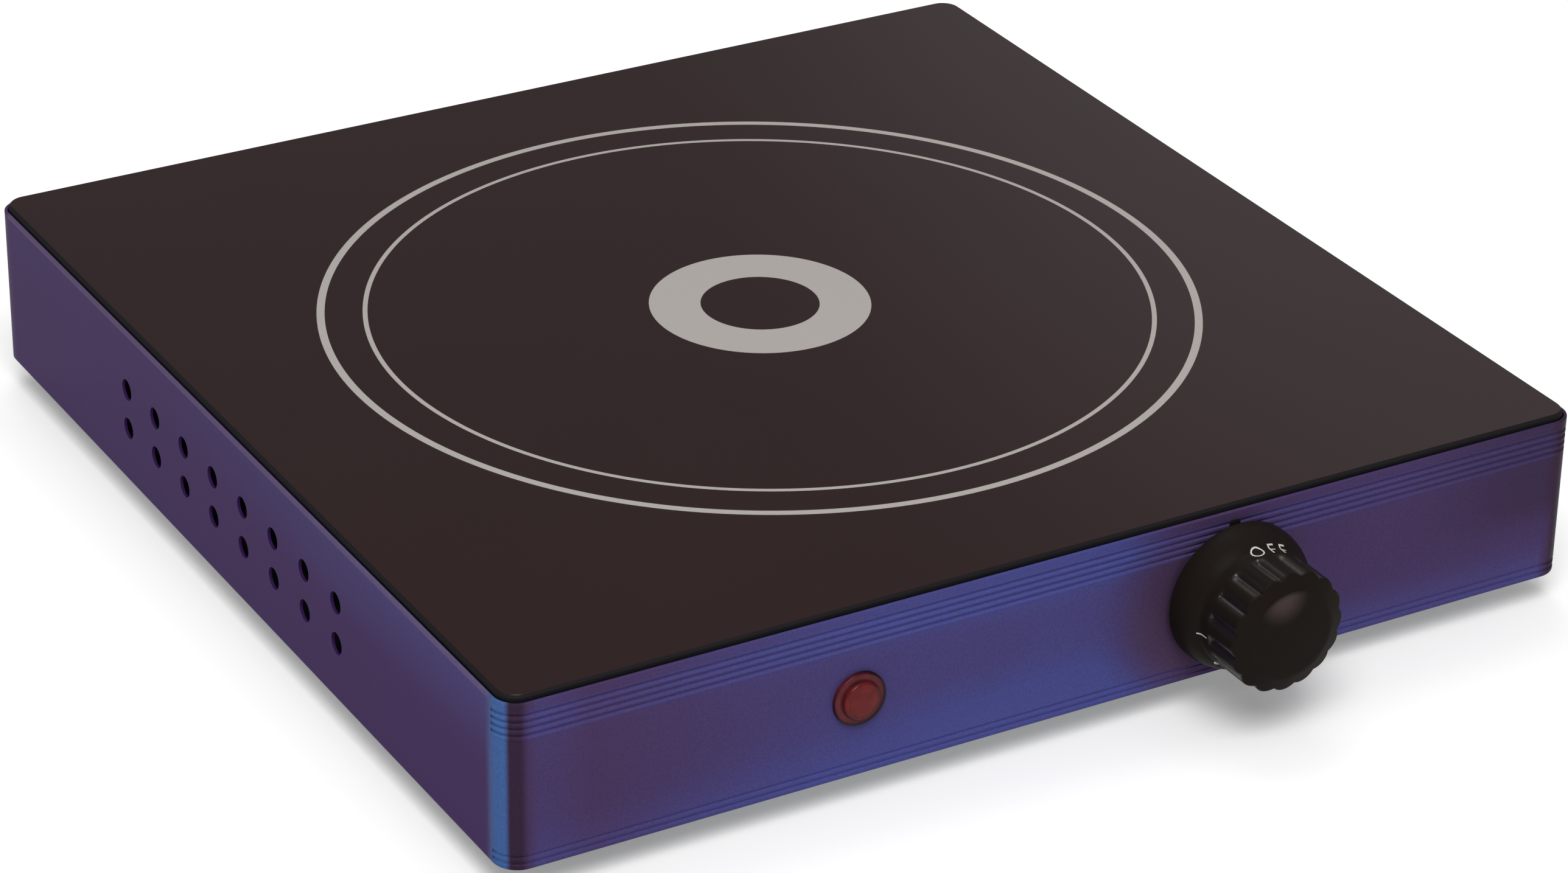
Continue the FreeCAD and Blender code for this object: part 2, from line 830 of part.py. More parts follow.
def make_cam():
    """Disc whose radius grows evenly with the knob's turn, then drops back to the low dwell."""
    high = cam_low_radius + cam_rise
    steps = int(round(knob_turn / cam_step))
    shares = [i / steps for i in range(steps + 1)]
    spiral = [cam_point(knob_turn * share, cam_low_radius + cam_rise * share) for share in shares]
    curve = Part.BSplineCurve()
    curve.interpolate(spiral)
    top_end = knob_turn + cam_top_dwell
    low_start = 360 - cam_low_dwell
    top_arc = [cam_point(a, high) for a in (knob_turn, (knob_turn + top_end) / 2, top_end)]
    low_arc = [cam_point(a, cam_low_radius) for a in (low_start, (low_start + 360) / 2, 360)]
    edges = [
        curve.toShape(),
        Part.Arc(*top_arc).toShape(),
        Part.makeLine(top_arc[-1], low_arc[0]),
        Part.Arc(*low_arc).toShape(),
    ]
    body = Part.Face(Part.Wire(edges)).extrude(Vector(0, 0, cam_thickness))
    return on_front(body.cut(disc(shaft_radius + thread_gap, 0, 0, cam_rear, cam_front)), knob_x, knob_z)


def make_follower():
    """Slider with a narrow nose over the cam, held between the guides in the case."""
    low = cam_low_radius + follower_gap
    high = guide_top - cam_rise - follower_top_gap
    half = follower_width / 2
    nose = follower_nose / 2
    shoulder = low + half - nose
    outline = [(-nose, low), (nose, low), (half, shoulder), (half, high), (-half, high), (-half, shoulder)]
    corners = [Vector(x, y, cam_rear) for x, y in outline]
    face = Part.Face(Part.makePolygon(corners + corners[:1]))
    return on_front(face.extrude(Vector(0, 0, cam_thickness)), knob_x, knob_z)


def tab_x(i):
    """Place of a regulator tab across the cover, from the knob's axis."""
    return (i - (tab_count - 1) / 2) * tab_pitch


def make_regulator_tabs():
    tabs = []
    for i in range(tab_count):
        x0 = tab_x(i) - tab_thickness / 2
        y0 = -tab_drop - tab_width / 2
        rear = cover_rear - tab_length
        tabs.append(block(x0, x0 + tab_thickness, y0, y0 + tab_width, rear, cover_rear))
    return on_front(Part.makeCompound(tabs), knob_x, knob_z)


# Knob, drawn the same way


def skirt_solid():
    """Domed skirt: a straight edge, then an arc that starts upright and leans in."""
    rise = skirt_height - skirt_edge
    lean = skirt_radius - skirt_top_radius
    radius = (rise ** 2 + lean ** 2) / (2 * lean)
    half = math.asin(rise / radius) / 2
    edge_z1 = knob_gap + skirt_edge
    top_z = knob_gap + skirt_height
    middle_r = skirt_radius - radius + radius * math.cos(half)
    middle_z = edge_z1 + radius * math.sin(half)
    dome = Part.Arc(
        Vector(skirt_radius, 0, edge_z1),
        Vector(middle_r, 0, middle_z),
        Vector(skirt_top_radius, 0, top_z),
    )
    corners = [Vector(skirt_top_radius, 0, top_z), Vector(0, 0, top_z), Vector(0, 0, knob_gap)]
    corners += [Vector(skirt_radius, 0, knob_gap), Vector(skirt_radius, 0, edge_z1)]
    outline = Part.Wire([dome.toShape()] + Part.makePolygon(corners).Edges)
    return Part.Face(outline).revolve(ORIGIN, Z_AXIS, 360)


def grip_solid():
    """Prism with round lobes that meet in sharp notches."""
    step = 2 * math.pi / grip_lobes
    edges = []
    for i in range(grip_lobes):
        turns = [(i - 0.5) * step, i * step, (i + 0.5) * step]
        reaches = [grip_notch_radius, grip_radius, grip_notch_radius]
        points = [
            Vector(r * math.sin(a), r * math.cos(a), knob_gap + skirt_edge) for a, r in zip(turns, reaches)
        ]
        edges.append(Part.Arc(*points).toShape())
    height = knob_length + face_crown - knob_gap - skirt_edge
    return Part.Face(Part.Wire(edges)).extrude(Vector(0, 0, height))


def front_envelope():
    """Crowned face with a sloping ring round it, which trims the grip's front."""
    edge = knob_length - face_crown
    reach = skirt_radius + skirt_edge
    slope = face_chamfer / (grip_radius - face_radius)
    outer = edge - slope * (reach - face_radius)
    crown_radius = (face_radius ** 2 + face_crown ** 2) / (2 * face_crown)
    half = math.asin(face_radius / crown_radius) / 2
    middle = knob_length - crown_radius + crown_radius * math.cos(half)
    crown = Part.Arc(
        Vector(0, 0, knob_length),
        Vector(crown_radius * math.sin(half), 0, middle),
        Vector(face_radius, 0, edge),
    )
    corners = [Vector(face_radius, 0, edge), Vector(reach, 0, outer), Vector(reach, 0, 0), ORIGIN]
    corners.append(Vector(0, 0, knob_length))
    outline = Part.Wire([crown.toShape()] + Part.makePolygon(corners).Edges)
    return Part.Face(outline).revolve(ORIGIN, Z_AXIS, 360)


def make_knob():
    body = skirt_solid().fuse(grip_solid()).common(front_envelope())
    inner = grip_notch_radius - knob_wall
    waist = knob_gap + skirt_height - knob_wall
    ceiling = knob_length - face_crown - face_wall - face_chamfer / 2
    hollow = turned(
        [(0, 0), (skirt_radius - knob_wall, 0), (skirt_radius - knob_wall, knob_gap + skirt_edge)]
        + [(inner, waist), (inner, ceiling), (0, ceiling)]
    )
    hub = disc(hub_radius, 0, 0, hub_gap, ceiling)
    body = body.cut(hollow).fuse(hub)
    roof = shaft_flat + clip_thickness + 2 * hub_fit
    bore_radius = shaft_radius + hub_fit
    bore = disc(bore_radius, 0, 0, hub_gap, shaft_reach + hub_fit)
    bore = bore.common(block(-bore_radius, bore_radius, -bore_radius, roof, 0, knob_length))
    return on_front(body.cut(bore).removeSplitter(), knob_x, knob_z)


def make_knob_clip():
    low = shaft_flat + hub_fit
    end = shaft_reach - hub_fit
    leaf = block(-clip_width / 2, clip_width / 2, low, low + clip_thickness, end - clip_length, end)
    return on_front(leaf, knob_x, knob_z)


# Pilot lamp, drawn the same way

sleeve_end = -sheet - lens_sleeve
lamp_rear = sleeve_end - lamp_body_length


def make_lens():
    flange = disc(lens_flange_radius, 0, 0, 0, lens_flange_thickness)
    flange = flange.makeFillet(lens_flange_round, edges_at(flange, lens_flange_thickness))
    button = disc(lens_radius, 0, 0, sleeve_end, lens_reach)
    button = button.makeFillet(lens_round, edges_at(button, lens_reach))
    hollow = disc(lens_radius - lens_wall, 0, 0, sleeve_end, lens_reach - 2 * lens_wall)
    return on_front(flange.fuse(button).cut(hollow).removeSplitter(), lamp_x, lamp_z)


def make_lamp_body():
    body = disc(lens_radius, 0, 0, lamp_rear, sleeve_end)
    socket = disc(bulb_radius + bulb_gap, 0, 0, sleeve_end - bulb_length + bulb_reach, sleeve_end)
    return on_front(body.cut(socket), lamp_x, lamp_z)


def make_bulb():
    foot = sleeve_end - bulb_length + bulb_reach
    bulb = disc(bulb_radius, 0, 0, foot, foot + bulb_length)
    bulb = bulb.makeFillet(bulb_radius / 2, edges_at(bulb, foot + bulb_length))
    return on_front(bulb, lamp_x, lamp_z)


def make_push_nut():
    low = -sheet - push_nut_thickness
    ring = disc(lens_radius + push_nut_width, 0, 0, low, -sheet)
    return on_front(ring.cut(disc(lens_radius + seat_gap, 0, 0, low, -sheet)), lamp_x, lamp_z)


def make_lamp_tabs():
    tabs = []
    half = tab_thickness / 2
    for side in (-1, 1):
        x = side * lamp_tab_spread
        ends = (x - half, x + half, -lamp_tab_width / 2, lamp_tab_width / 2)
        tabs.append(block(*ends, lamp_rear - lamp_tab_length, lamp_rear))
    return on_front(Part.makeCompound(tabs), lamp_x, lamp_z)


# Mains side


def make_gland():
    """Turned bush: a rounded lip outside, a body through the wall, a bore for the cord."""
    lip = disc(gland_lip_radius, 0, 0, 0, gland_lip)
    lip = lip.makeFillet(gland_lip_round, edges_at(lip, gland_lip))
    body = disc(gland_body_radius, 0, 0, -sheet - gland_inner_length, 0)
    bush = lip.fuse(body).cut(disc(gland_bore, 0, 0, -sheet - gland_inner_length, gland_lip))
    bush = bush.removeSplitter()
    bush.rotate(ORIGIN, Vector(1, 0, 0), -90)
    bush.translate(Vector(gland_x, rear_y, gland_z))
    return bush


def make_gland_nut():
    low = -sheet - gland_nut_thickness
    nut = hexagon(gland_nut_flat, 0, 0, low, -sheet)
    nut = nut.cut(disc(gland_body_radius + thread_gap, 0, 0, low, -sheet))
    nut.rotate(ORIGIN, Vector(1, 0, 0), -90)
    nut.translate(Vector(gland_x, rear_y, gland_z))
    return nut


def pole_xs():
    """Middle of each pole of the terminal block."""
    return [gland_x + (i - (pole_count - 1) / 2) * pole_pitch for i in range(pole_count)]


def pole_screw_points():
    return [(x, block_y + s * pole_screw_spread) for x in pole_xs() for s in (-1, 1)]


def make_terminal_block():
    half = block_width / 2
    near = block_y - block_depth / 2
    top = edge_z + block_height
    body = block(gland_x - half, gland_x + half, near, near + block_depth, edge_z, top)
    cuts = [Part.makeCylinder(pole_radius, block_depth, Vector(x, near, pole_z), Y_AXIS) for x in pole_xs()]
    for x, y in pole_screw_points():
        cuts.append(disc(pole_screw_radius + thread_gap, x, y, pole_z, top))
    for x, y in block_screw_points():
        cuts.append(disc(block_screw_radius + seat_gap, x, y, edge_z, top))
    return body.cut(cuts)


def make_terminal_screws():
    down = Vector(0, 0, -1)
    top = edge_z + block_height
    head = pole_radius
    made = []
    for x, y in pole_screw_points():
        seat = Vector(x, y, top)
        made.append(screw(seat, down, pole_screw_radius, pole_screw_length, head, small_head_height))
    return Part.makeCompound(made)


def make_block_screws():
    down = Vector(0, 0, -1)
    length = block_height + block_screw_grip
    head = pole_radius
    made = []
    for x, y in block_screw_points():
        seat = Vector(x, y, edge_z + block_height)
        made.append(screw(seat, down, block_screw_radius, length, head, small_head_height))
    return Part.makeCompound(made)


lug_z = edge_z + stud_flange


def make_earth_stud():
    flange = disc(stud_flange_radius, stud_x, stud_y, edge_z, lug_z)
    return flange.fuse(disc(stud_radius, stud_x, stud_y, edge_z, edge_z + stud_height)).removeSplitter()


def make_earth_nut():
    low = lug_z + lug_thickness
    high = low + earth_nut_thickness
    nut = hexagon(earth_nut_flat, stud_x, stud_y, low, high)
    return nut.cut(disc(stud_radius + thread_gap, stud_x, stud_y, low, high))


# Wires: straight runs joined by arcs that touch both runs


def wire(points):
    """Round wire along a route whose corners are rounded as far as the runs allow."""
    edges = []
    last = points[0]
    for before, corner, after in zip(points, points[1:], points[2:]):
        way_in = (corner - before).normalize()
        way_out = (after - corner).normalize()
        reach = wire_bend_share * min((corner - before).Length, (after - corner).Length)
        half = way_in.getAngle(way_out) / 2
        radius = reach / math.tan(half)
        towards = (way_out - way_in).normalize()
        middle = corner + towards * (radius / math.cos(half) - radius)
        start = corner - way_in * reach
        end = corner + way_out * reach
        edges.append(Part.makeLine(last, start))
        edges.append(Part.Arc(start, middle, end).toShape())
        last = end
    edges.append(Part.makeLine(last, points[-1]))
    path = Part.Wire(edges)
    ring = Part.makeCircle(wire_radius, points[0], points[1] - points[0])
    return path.makePipeShell([Part.Wire(ring)], True, False)


tab_y = front_y - cover_rear + tab_length / 2
tab_top_z = knob_z - tab_drop + tab_width / 2
lamp_tab_y = front_y - lamp_rear + lamp_tab_length
lamp_lane_y = -pan_radius - lamp_lane_gap
block_near = block_y - block_depth / 2
lane_x = inner_width / 2 - wire_wall_gap


def tab_top(i, rise):
    """Point a little above one regulator tab."""
    return Vector(knob_x + tab_x(i), tab_y, tab_top_z + rise)


def make_lamp_wire(i, rise, side):
    """From a regulator tab, along the front, to the rear end of a lamp tab."""
    x = lamp_x + side * lamp_tab_spread
    z = tab_top_z + rise
    start_x = knob_x + tab_x(i) - case_width / 2
    points = [tab_top(i, 0), tab_top(i, rise), Vector(start_x, lamp_lane_y, z)]
    points += [Vector(x, lamp_lane_y, z), Vector(x, lamp_tab_y, z)]
    return wire(points)


def make_heater_wire(i, tab):
    """From a regulator tab to the end of a limiter tab."""
    middle = pan_top_z - limiter_height / 2
    x = limiter_tab_xs()[tab]
    tip = -limiter_width / 2 - tab_length
    end = at_limiter_point(x, tip, middle)
    approach = at_limiter_point(x, tip - wire_approach, middle)
    corner = tab_top(i, middle - tab_top_z)
    return wire([tab_top(i, 0), corner, approach, end])


def make_mains_wire(i, rise, lane, pole):
    """From a regulator tab, along the right side, down to a pole of the terminal block."""
    z = tab_top_z + rise
    x = lane_x - lane
    pole_x = pole_xs()[pole]
    level_y = block_near - mains_level_run + lane
    drop_y = block_near - mains_drop_run + lane
    points = [tab_top(i, 0), tab_top(i, rise), Vector(x, tab_y, z), Vector(x, level_y, z)]
    points += [Vector(x - lane, drop_y, pole_z), Vector(pole_x, block_near - mains_last_run, pole_z)]
    points.append(Vector(pole_x, block_near + wire_entry, pole_z))
    return wire(points)


def make_earth_wire():
    """From the first pole, under the heater's edge, to a ring lug on the earth stud."""
    pole_x = pole_xs()[0]
    z = lug_z + lug_thickness / 2
    lug_edge = stud_y - lug_radius + lug_thickness / 2
    near = block_near - earth_first_run
    turn_x = pole_x + (stud_x - pole_x) * earth_turn_share
    points = [Vector(pole_x, block_near + wire_entry, pole_z), Vector(pole_x, near, pole_z)]
    points.append(Vector(turn_x, near - earth_turn_run, (pole_z + z) / 2))
    points.append(Vector(stud_x + earth_end_side, near - earth_end_run, z + earth_end_lift))
    points.append(Vector(stud_x, lug_edge, z))
    ring = disc(lug_radius, stud_x, stud_y, lug_z, lug_z + lug_thickness)
    hole = disc(stud_radius + lug_gap, stud_x, stud_y, lug_z, lug_z + lug_thickness)
    return wire(points).fuse(ring.cut(hole))


def make_parts():
    """Every piece, by the name of its file."""
    parts = {
        "housing": make_housing(),
        "base_plate": make_base_plate(),
        "base_screws": make_base_screws(),
        "foot_screws": make_foot_screws(),
        "glass_top": make_glass(),
        "glass_seal": make_seal(),
        "glass_frame": make_glass_frame(),
        "heater_pan": make_pan(),
        "insulation_disc": make_insulation_disc(),
        "insulation_ring": make_insulation_ring(),
        "heater_ribbon": make_ribbon(),
        "heater_leads": make_heater_leads(),
        "limiter_rod": make_limiter_rod(),
        "limiter_head": make_limiter_head(),
        "limiter_tabs": make_limiter_tabs(),
        "heater_bridge": make_bridge(),
        "bridge_screws": make_bridge_screws(),
        "pan_spring_left": make_pan_spring(-1),
        "pan_spring_right": make_pan_spring(1),
        "regulator_case": make_case(),
        "regulator_cover": make_case_cover(),
        "regulator_screws": make_case_screws(),
        "regulator_shaft": make_shaft(),
        "regulator_cam": make_cam(),
        "cam_follower": make_follower(),
        "regulator_tabs": make_regulator_tabs(),
        "knob": make_knob(),
        "knob_clip": make_knob_clip(),
        "lamp_lens": make_lens(),
        "lamp_body": make_lamp_body(),
        "lamp_bulb": make_bulb(),
        "lamp_push_nut": make_push_nut(),
        "lamp_tabs": make_lamp_tabs(),
        "cord_gland": make_gland(),
        "gland_nut": make_gland_nut(),
        "terminal_block": make_terminal_block(),
        "terminal_screws": make_terminal_screws(),
        "block_screws": make_block_screws(),
        "earth_stud": make_earth_stud(),
        "earth_nut": make_earth_nut(),
        "wire_lamp_1": make_lamp_wire(0, wire_low_rise, 1),
        "wire_lamp_2": make_lamp_wire(1, wire_mid_rise, -1),
        "wire_heater_1": make_heater_wire(2, 0),
        "wire_heater_2": make_heater_wire(3, 1),
        "wire_live": make_mains_wire(4, wire_mid_rise, wire_lane, 1),
        "wire_neutral": make_mains_wire(5, wire_low_rise, 0, 2),
        "wire_earth": make_earth_wire(),
    }
    for name, (x, y) in foot_points().items():
        parts[name] = make_foot(x, y)
    return parts


os.makedirs("parts", exist_ok=True)
for name, shape in make_parts().items():
    shape.translated(Vector(0, plate_y, 0)).exportStep(f"parts/{name}.step")
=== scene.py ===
"""Looks of a single glass-ceramic hot plate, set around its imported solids.

Metres. +X runs to the right along the front, +Y to the rear, +Z up, as in the solids.
"""
import bmesh
import bpy
import json
import math
import numpy as np
from mathutils import Matrix, Vector


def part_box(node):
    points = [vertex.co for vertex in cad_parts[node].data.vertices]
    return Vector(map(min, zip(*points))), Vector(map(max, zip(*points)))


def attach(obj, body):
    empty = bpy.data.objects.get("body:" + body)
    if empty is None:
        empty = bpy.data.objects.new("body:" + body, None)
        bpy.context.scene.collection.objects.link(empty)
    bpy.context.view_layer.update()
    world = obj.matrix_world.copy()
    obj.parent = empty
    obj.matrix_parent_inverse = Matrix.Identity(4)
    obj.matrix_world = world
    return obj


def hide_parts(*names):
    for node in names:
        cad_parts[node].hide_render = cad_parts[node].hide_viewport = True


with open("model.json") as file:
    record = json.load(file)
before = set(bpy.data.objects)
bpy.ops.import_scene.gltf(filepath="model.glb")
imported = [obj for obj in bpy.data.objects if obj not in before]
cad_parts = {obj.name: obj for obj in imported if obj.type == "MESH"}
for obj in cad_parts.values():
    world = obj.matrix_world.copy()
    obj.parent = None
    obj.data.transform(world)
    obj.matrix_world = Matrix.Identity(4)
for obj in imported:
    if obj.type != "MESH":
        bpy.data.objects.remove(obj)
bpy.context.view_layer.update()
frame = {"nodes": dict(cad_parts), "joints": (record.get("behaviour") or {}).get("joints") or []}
MM = 0.001

# Places read from the solids. The middle of the printed rings lies 1 mm ahead of the plate's middle.
AXIS_X, PANEL_Y, AXIS_Z = {j["name"]: j for j in frame["joints"]}["knob_turn"]["pos_m"]
glass_low, glass_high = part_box("glass_top")
GLASS_TOP = glass_high.z
PLATE_Y = (glass_low.y + glass_high.y) / 2
PRINT_Y = PLATE_Y - 1 * MM
housing_low, housing_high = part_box("housing")
RIM_Z = housing_high.z
EDGE_Z = housing_low.z
lens_low, lens_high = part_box("lamp_lens")
LAMP_X = (lens_low.x + lens_high.x) / 2
LAMP_Z = (lens_low.z + lens_high.z) / 2

# Housing: radius of its bends, the turn (radians) where a side begins and is full, and its rolled lines
CORNER = 6.5 * MM
CORNER_X = housing_high.x - CORNER
CORNER_Y = housing_high.y - PLATE_Y - CORNER
SIDE_START = 1.57
SIDE_FULL = 1.9
LINE_PITCH = 1.77 * MM
TOP_LINES = RIM_Z - 3.1 * MM
LOW_LINES = EDGE_Z + 1.8 * MM
FIRST_CREST = TOP_LINES - 0.45 * MM

# Lamp: radius of the lens's flange, and how far its painted dark edge, painted shade, is off the middle
FLANGE_R = 7 * MM
LENS_SHIFT = 0.5 * MM

# Knob sizes in millimetres, from its axis or out from the panel
KNOB_GAP = 1.5
SKIRT_R = 19.0
SKIRT_EDGE = 3.0
SKIRT_ROUND = 0.4
SHOULDER = 10.5
SHOULDER_R = 16.3
STEP_START = SHOULDER - 0.8
STEP_LENGTH = 2.0
GRIP_R = 16.0
NOTCH = 1.1
LOBES = 16
FLUTE_START = 13.4
FLUTE_FULL = 15.4
RIM_BACK = 0.45
RIM_IN = 0.55
FACE_R = 11.5
FACE_OUT = 25.8
FACE_SLOPE = 0.4
SEAM_OUT = 0.4
SEAM_IN = 0.3
KNOB_FRONT = 26.4
# Inside of the knob, as radius and way out: the hub's bore, the hub, the hollow and the skirt's lower edge
KNOB_INSIDE = (
    (0, 21.95), (3.05, 21.95), (3.05, 3.0), (5.5, 3.0), (5.5, 22.7), (13.0, 22.7), (13.0, 8.6),
    (17.1, SKIRT_EDGE), (17.1, KNOB_GAP + 0.2), (17.4, KNOB_GAP), (18.6, KNOB_GAP))
# Columns of the knob's grid in each lobe, and rows of its parts
LOBE_COLUMNS = 18
WALL_ROWS = 40
GRIP_ROWS = 26
RIM_ROWS = 6
SLOPE_ROWS = 8
CROWN_ROWS = 16

# Prints and the mark over the knob, in millimetres
INK = 0.07
PRINT_TOP = 0.03
PRINT_FOOT = -0.01
PRINT_BEVEL = 0.06
MARK_OVER_AXIS = 18.1
MARK_HALF_WIDTH = 1.5
MARK_HALF_HEIGHT = 1.1
# Flat letters before they are bent, in units of their own size: half thickness, thinning of the strokes,
# half width of the longest word, and squares that they are cut into
LETTER_HALF = 0.5
LETTER_THIN = -0.012
LETTER_REACH = 2.5
LETTER_CUT = 0.12

# Node settings that come up often, the inputs of a mix of colours, and the usual range of a noise texture
SOFT = {"interpolation_type": "SMOOTHSTEP"}
COLOUR = {"data_type": "RGBA"}
ADD = {"operation": "ADD"}
CLAMPED_ADD = {"operation": "ADD", "use_clamp": True}
SUBTRACT = {"operation": "SUBTRACT"}
MULTIPLY = {"operation": "MULTIPLY"}
CLAMPED_MULTIPLY = {"operation": "MULTIPLY", "use_clamp": True}
MULTIPLY_ADD = {"operation": "MULTIPLY_ADD"}
MAXIMUM = {"operation": "MAXIMUM"}
LESS_THAN = {"operation": "LESS_THAN"}
ABSOLUTE = {"operation": "ABSOLUTE"}
LENGTH = {"operation": "LENGTH"}
SCALE = {"operation": "SCALE"}
SHARE, FIRST, SECOND = 0, 6, 7
NOISE_LOW, NOISE_HIGH = 0.3, 0.7


def linear(code):
    """Linear colour, with alpha 1, of an sRGB hex value."""
    part = np.array([int(code[i:i + 2], 16) for i in (1, 3, 5)]) / 255
    curve = np.where(part <= 0.04045, part / 12.92, ((part + 0.055) / 1.055) ** 2.4)
    return (*curve, 1.0)


def grain(size_mm):
    """Texture scale that makes a pattern about size_mm wide."""
    return 1000 / size_mm


def fill(tree, node, inputs):
    """Fills a node's inputs with values or links. A node stands for its first output in use."""
    for name, value in inputs.items():
        if isinstance(value, bpy.types.Node):
            value = next(socket for socket in value.outputs if socket.enabled)
        if isinstance(value, bpy.types.NodeSocket):
            tree.links.new(value, node.inputs[name])
        else:
            node.inputs[name].default_value = value


def add(tree, kind, settings, inputs):
    """Adds a shader node with its settings and inputs."""
    made = tree.nodes.new("ShaderNode" + kind)
    for name, value in settings.items():
        setattr(made, name, value)
    fill(tree, made, inputs)
    return made


def surface(name, sockets):
    """New material with one shader: gives it, its tree, its shader and the object's own coordinates."""
    made = bpy.data.materials.new(name)
    made.use_nodes = True
    tree = made.node_tree
    tree.nodes.clear()
    shader = add(tree, "BsdfPrincipled", {}, sockets)
    add(tree, "OutputMaterial", {}, {"Surface": shader})
    place = add(tree, "TexCoord", {}, {}).outputs["Object"]
    return made, tree, shader, place


def fill_ramp(node, stops):
    """Sets a colour ramp's stops, each with its place and sRGB hex value."""
    ramp = node.color_ramp
    ramp.interpolation = "EASE"
    while len(ramp.elements) < len(stops):
        ramp.elements.new(0.5)
    for stop, (where, code) in zip(ramp.elements, stops):
        stop.position = where
        stop.color = linear(code)


def mottled(name, dark, light, grain_mm, lift_mm, sockets, stretch=(1, 1, 1)):
    """Finish whose shade wanders between two colours, with a skin that is uneven by lift_mm.

    Its roughness wanders with its shade, by 15 % either way.
    """
    made, tree, shader, place = surface(name, sockets)
    pulled = add(tree, "Mapping", {}, {"Vector": place, "Scale": stretch})
    spots = add(tree, "TexNoise", {}, {
        "Vector": pulled, "Scale": grain(grain_mm), "Detail": 5.0, "Roughness": 0.6})
    shade = add(tree, "Mix", COLOUR, {SHARE: spots, FIRST: linear(dark), SECOND: linear(light)})
    rough = sockets["Roughness"]
    wear = add(tree, "MapRange", {}, {
        "Value": spots, "From Min": NOISE_LOW, "From Max": NOISE_HIGH,
        "To Min": rough * 0.85, "To Max": rough * 1.15})
    skin = add(tree, "Bump", {}, {"Height": spots, "Strength": 0.5, "Distance": lift_mm * MM})
    fill(tree, shader, {"Base Color": shade, "Roughness": wear, "Normal": skin})
    return made


def housing_places(tree, place):
    """Outputs that say where a point of the housing lies.

    x, y and z are the point's own, and depth is y counted from the plate's middle. bend is the way round a
    corner: 0 where the front or rear starts to turn, a quarter turn where the side begins. ends is 1 on the
    flat of the front and rear, and sides is 1 on the flat of the sides.
    """
    axes = add(tree, "SeparateXYZ", {}, {"Vector": place}).outputs
    aside = add(tree, "Math", ABSOLUTE, {0: axes["X"]})
    past_x = add(tree, "Math", SUBTRACT, {0: aside, 1: CORNER_X})
    depth = add(tree, "Math", SUBTRACT, {0: axes["Y"], 1: PLATE_Y})
    away = add(tree, "Math", ABSOLUTE, {0: depth})
    past_y = add(tree, "Math", SUBTRACT, {0: away, 1: CORNER_Y})
    bend = add(tree, "Math", {"operation": "ARCTAN2"}, {0: past_x, 1: past_y})
    ends = add(tree, "MapRange", {}, {
        "Value": bend, "From Min": -0.3, "From Max": 0.0, "To Min": 1.0, "To Max": 0.0})
    sides = add(tree, "MapRange", {}, {"Value": bend, "From Min": SIDE_START, "From Max": SIDE_FULL})
    return {
        "x": axes["X"], "y": axes["Y"], "z": axes["Z"], "depth": depth, "bend": bend, "ends": ends,
        "sides": sides}


def bend_strips(tree, at):
    """Shares of a dark line of painted shade on both front bends, and of a blue painted highlight on the left
    one.
    """
    turned = add(tree, "MapRange", {}, {
        "Value": at["bend"], "From Min": math.radians(-20), "From Max": math.radians(130)})
    strips = add(tree, "ValToRGB", {}, {"Fac": turned})
    fill_ramp(strips, (
        (0.13, "#000000"), (0.27, "#00FF00"), (0.40, "#00FF00"),
        (0.50, "#FF0000"), (0.62, "#FF0000"), (0.93, "#000000")))
    strip = add(tree, "SeparateColor", {}, {"Color": strips}).outputs
    ahead = add(tree, "MapRange", {}, {
        "Value": at["depth"], "From Min": -130 * MM, "From Max": -60 * MM, "To Min": 1.0, "To Max": 0.0})
    at_left = add(tree, "Math", LESS_THAN, {0: at["x"], 1: 0.0})
    dark = add(tree, "Math", MULTIPLY, {0: strip["Green"], 1: ahead})
    blue = add(tree, "Math", MULTIPLY, {0: strip["Red"], 1: ahead})
    blue = add(tree, "Math", MULTIPLY, {0: blue, 1: at_left})
    return dark, blue


def front_bloom(tree, at):
    """Share of painted blue reflection on front and rear: widest left of the middle, stronger near top and
    bottom.
    """
    rise = add(tree, "MapRange", SOFT, {"Value": at["x"], "From Min": -140 * MM, "From Max": -30 * MM})
    fall = add(tree, "MapRange", SOFT, {
        "Value": at["x"], "From Min": 2 * MM, "From Max": 38 * MM, "To Min": 1.0, "To Max": 0.14})
    across = add(tree, "Math", MULTIPLY, {0: rise, 1: fall})
    left_end = add(tree, "MapRange", SOFT, {
        "Value": at["x"], "From Min": -141 * MM, "From Max": -124 * MM, "To Min": 0.3, "To Max": 0.0})
    across = add(tree, "Math", MAXIMUM, {0: across, 1: left_end})
    off_middle = add(tree, "Math", SUBTRACT, {0: at["z"], 1: (EDGE_Z + RIM_Z) / 2 + 3 * MM})
    off_middle = add(tree, "Math", ABSOLUTE, {0: off_middle})
    outer = add(tree, "MapRange", SOFT, {
        "Value": off_middle, "From Min": 3 * MM, "From Max": 18 * MM, "To Min": 0.6, "To Max": 1.05})
    share = add(tree, "Math", MULTIPLY, {0: across, 1: at["ends"]})
    return add(tree, "Math", MULTIPLY, {0: share, 1: outer})


def rim_bloom(tree, at):
    """Share of painted blue reflection under the rim of the sides, stronger towards the front."""
    high = add(tree, "MapRange", SOFT, {
        "Value": at["z"], "From Min": EDGE_Z + 22 * MM, "From Max": RIM_Z, "To Min": 0.0, "To Max": 0.45})
    along = add(tree, "MapRange", SOFT, {
        "Value": at["depth"], "From Min": -110 * MM, "From Max": 60 * MM, "To Min": 1.0, "To Max": 0.15})
    share = add(tree, "Math", MULTIPLY, {0: high, 1: along})
    return add(tree, "Math", MULTIPLY, {0: share, 1: at["sides"]})


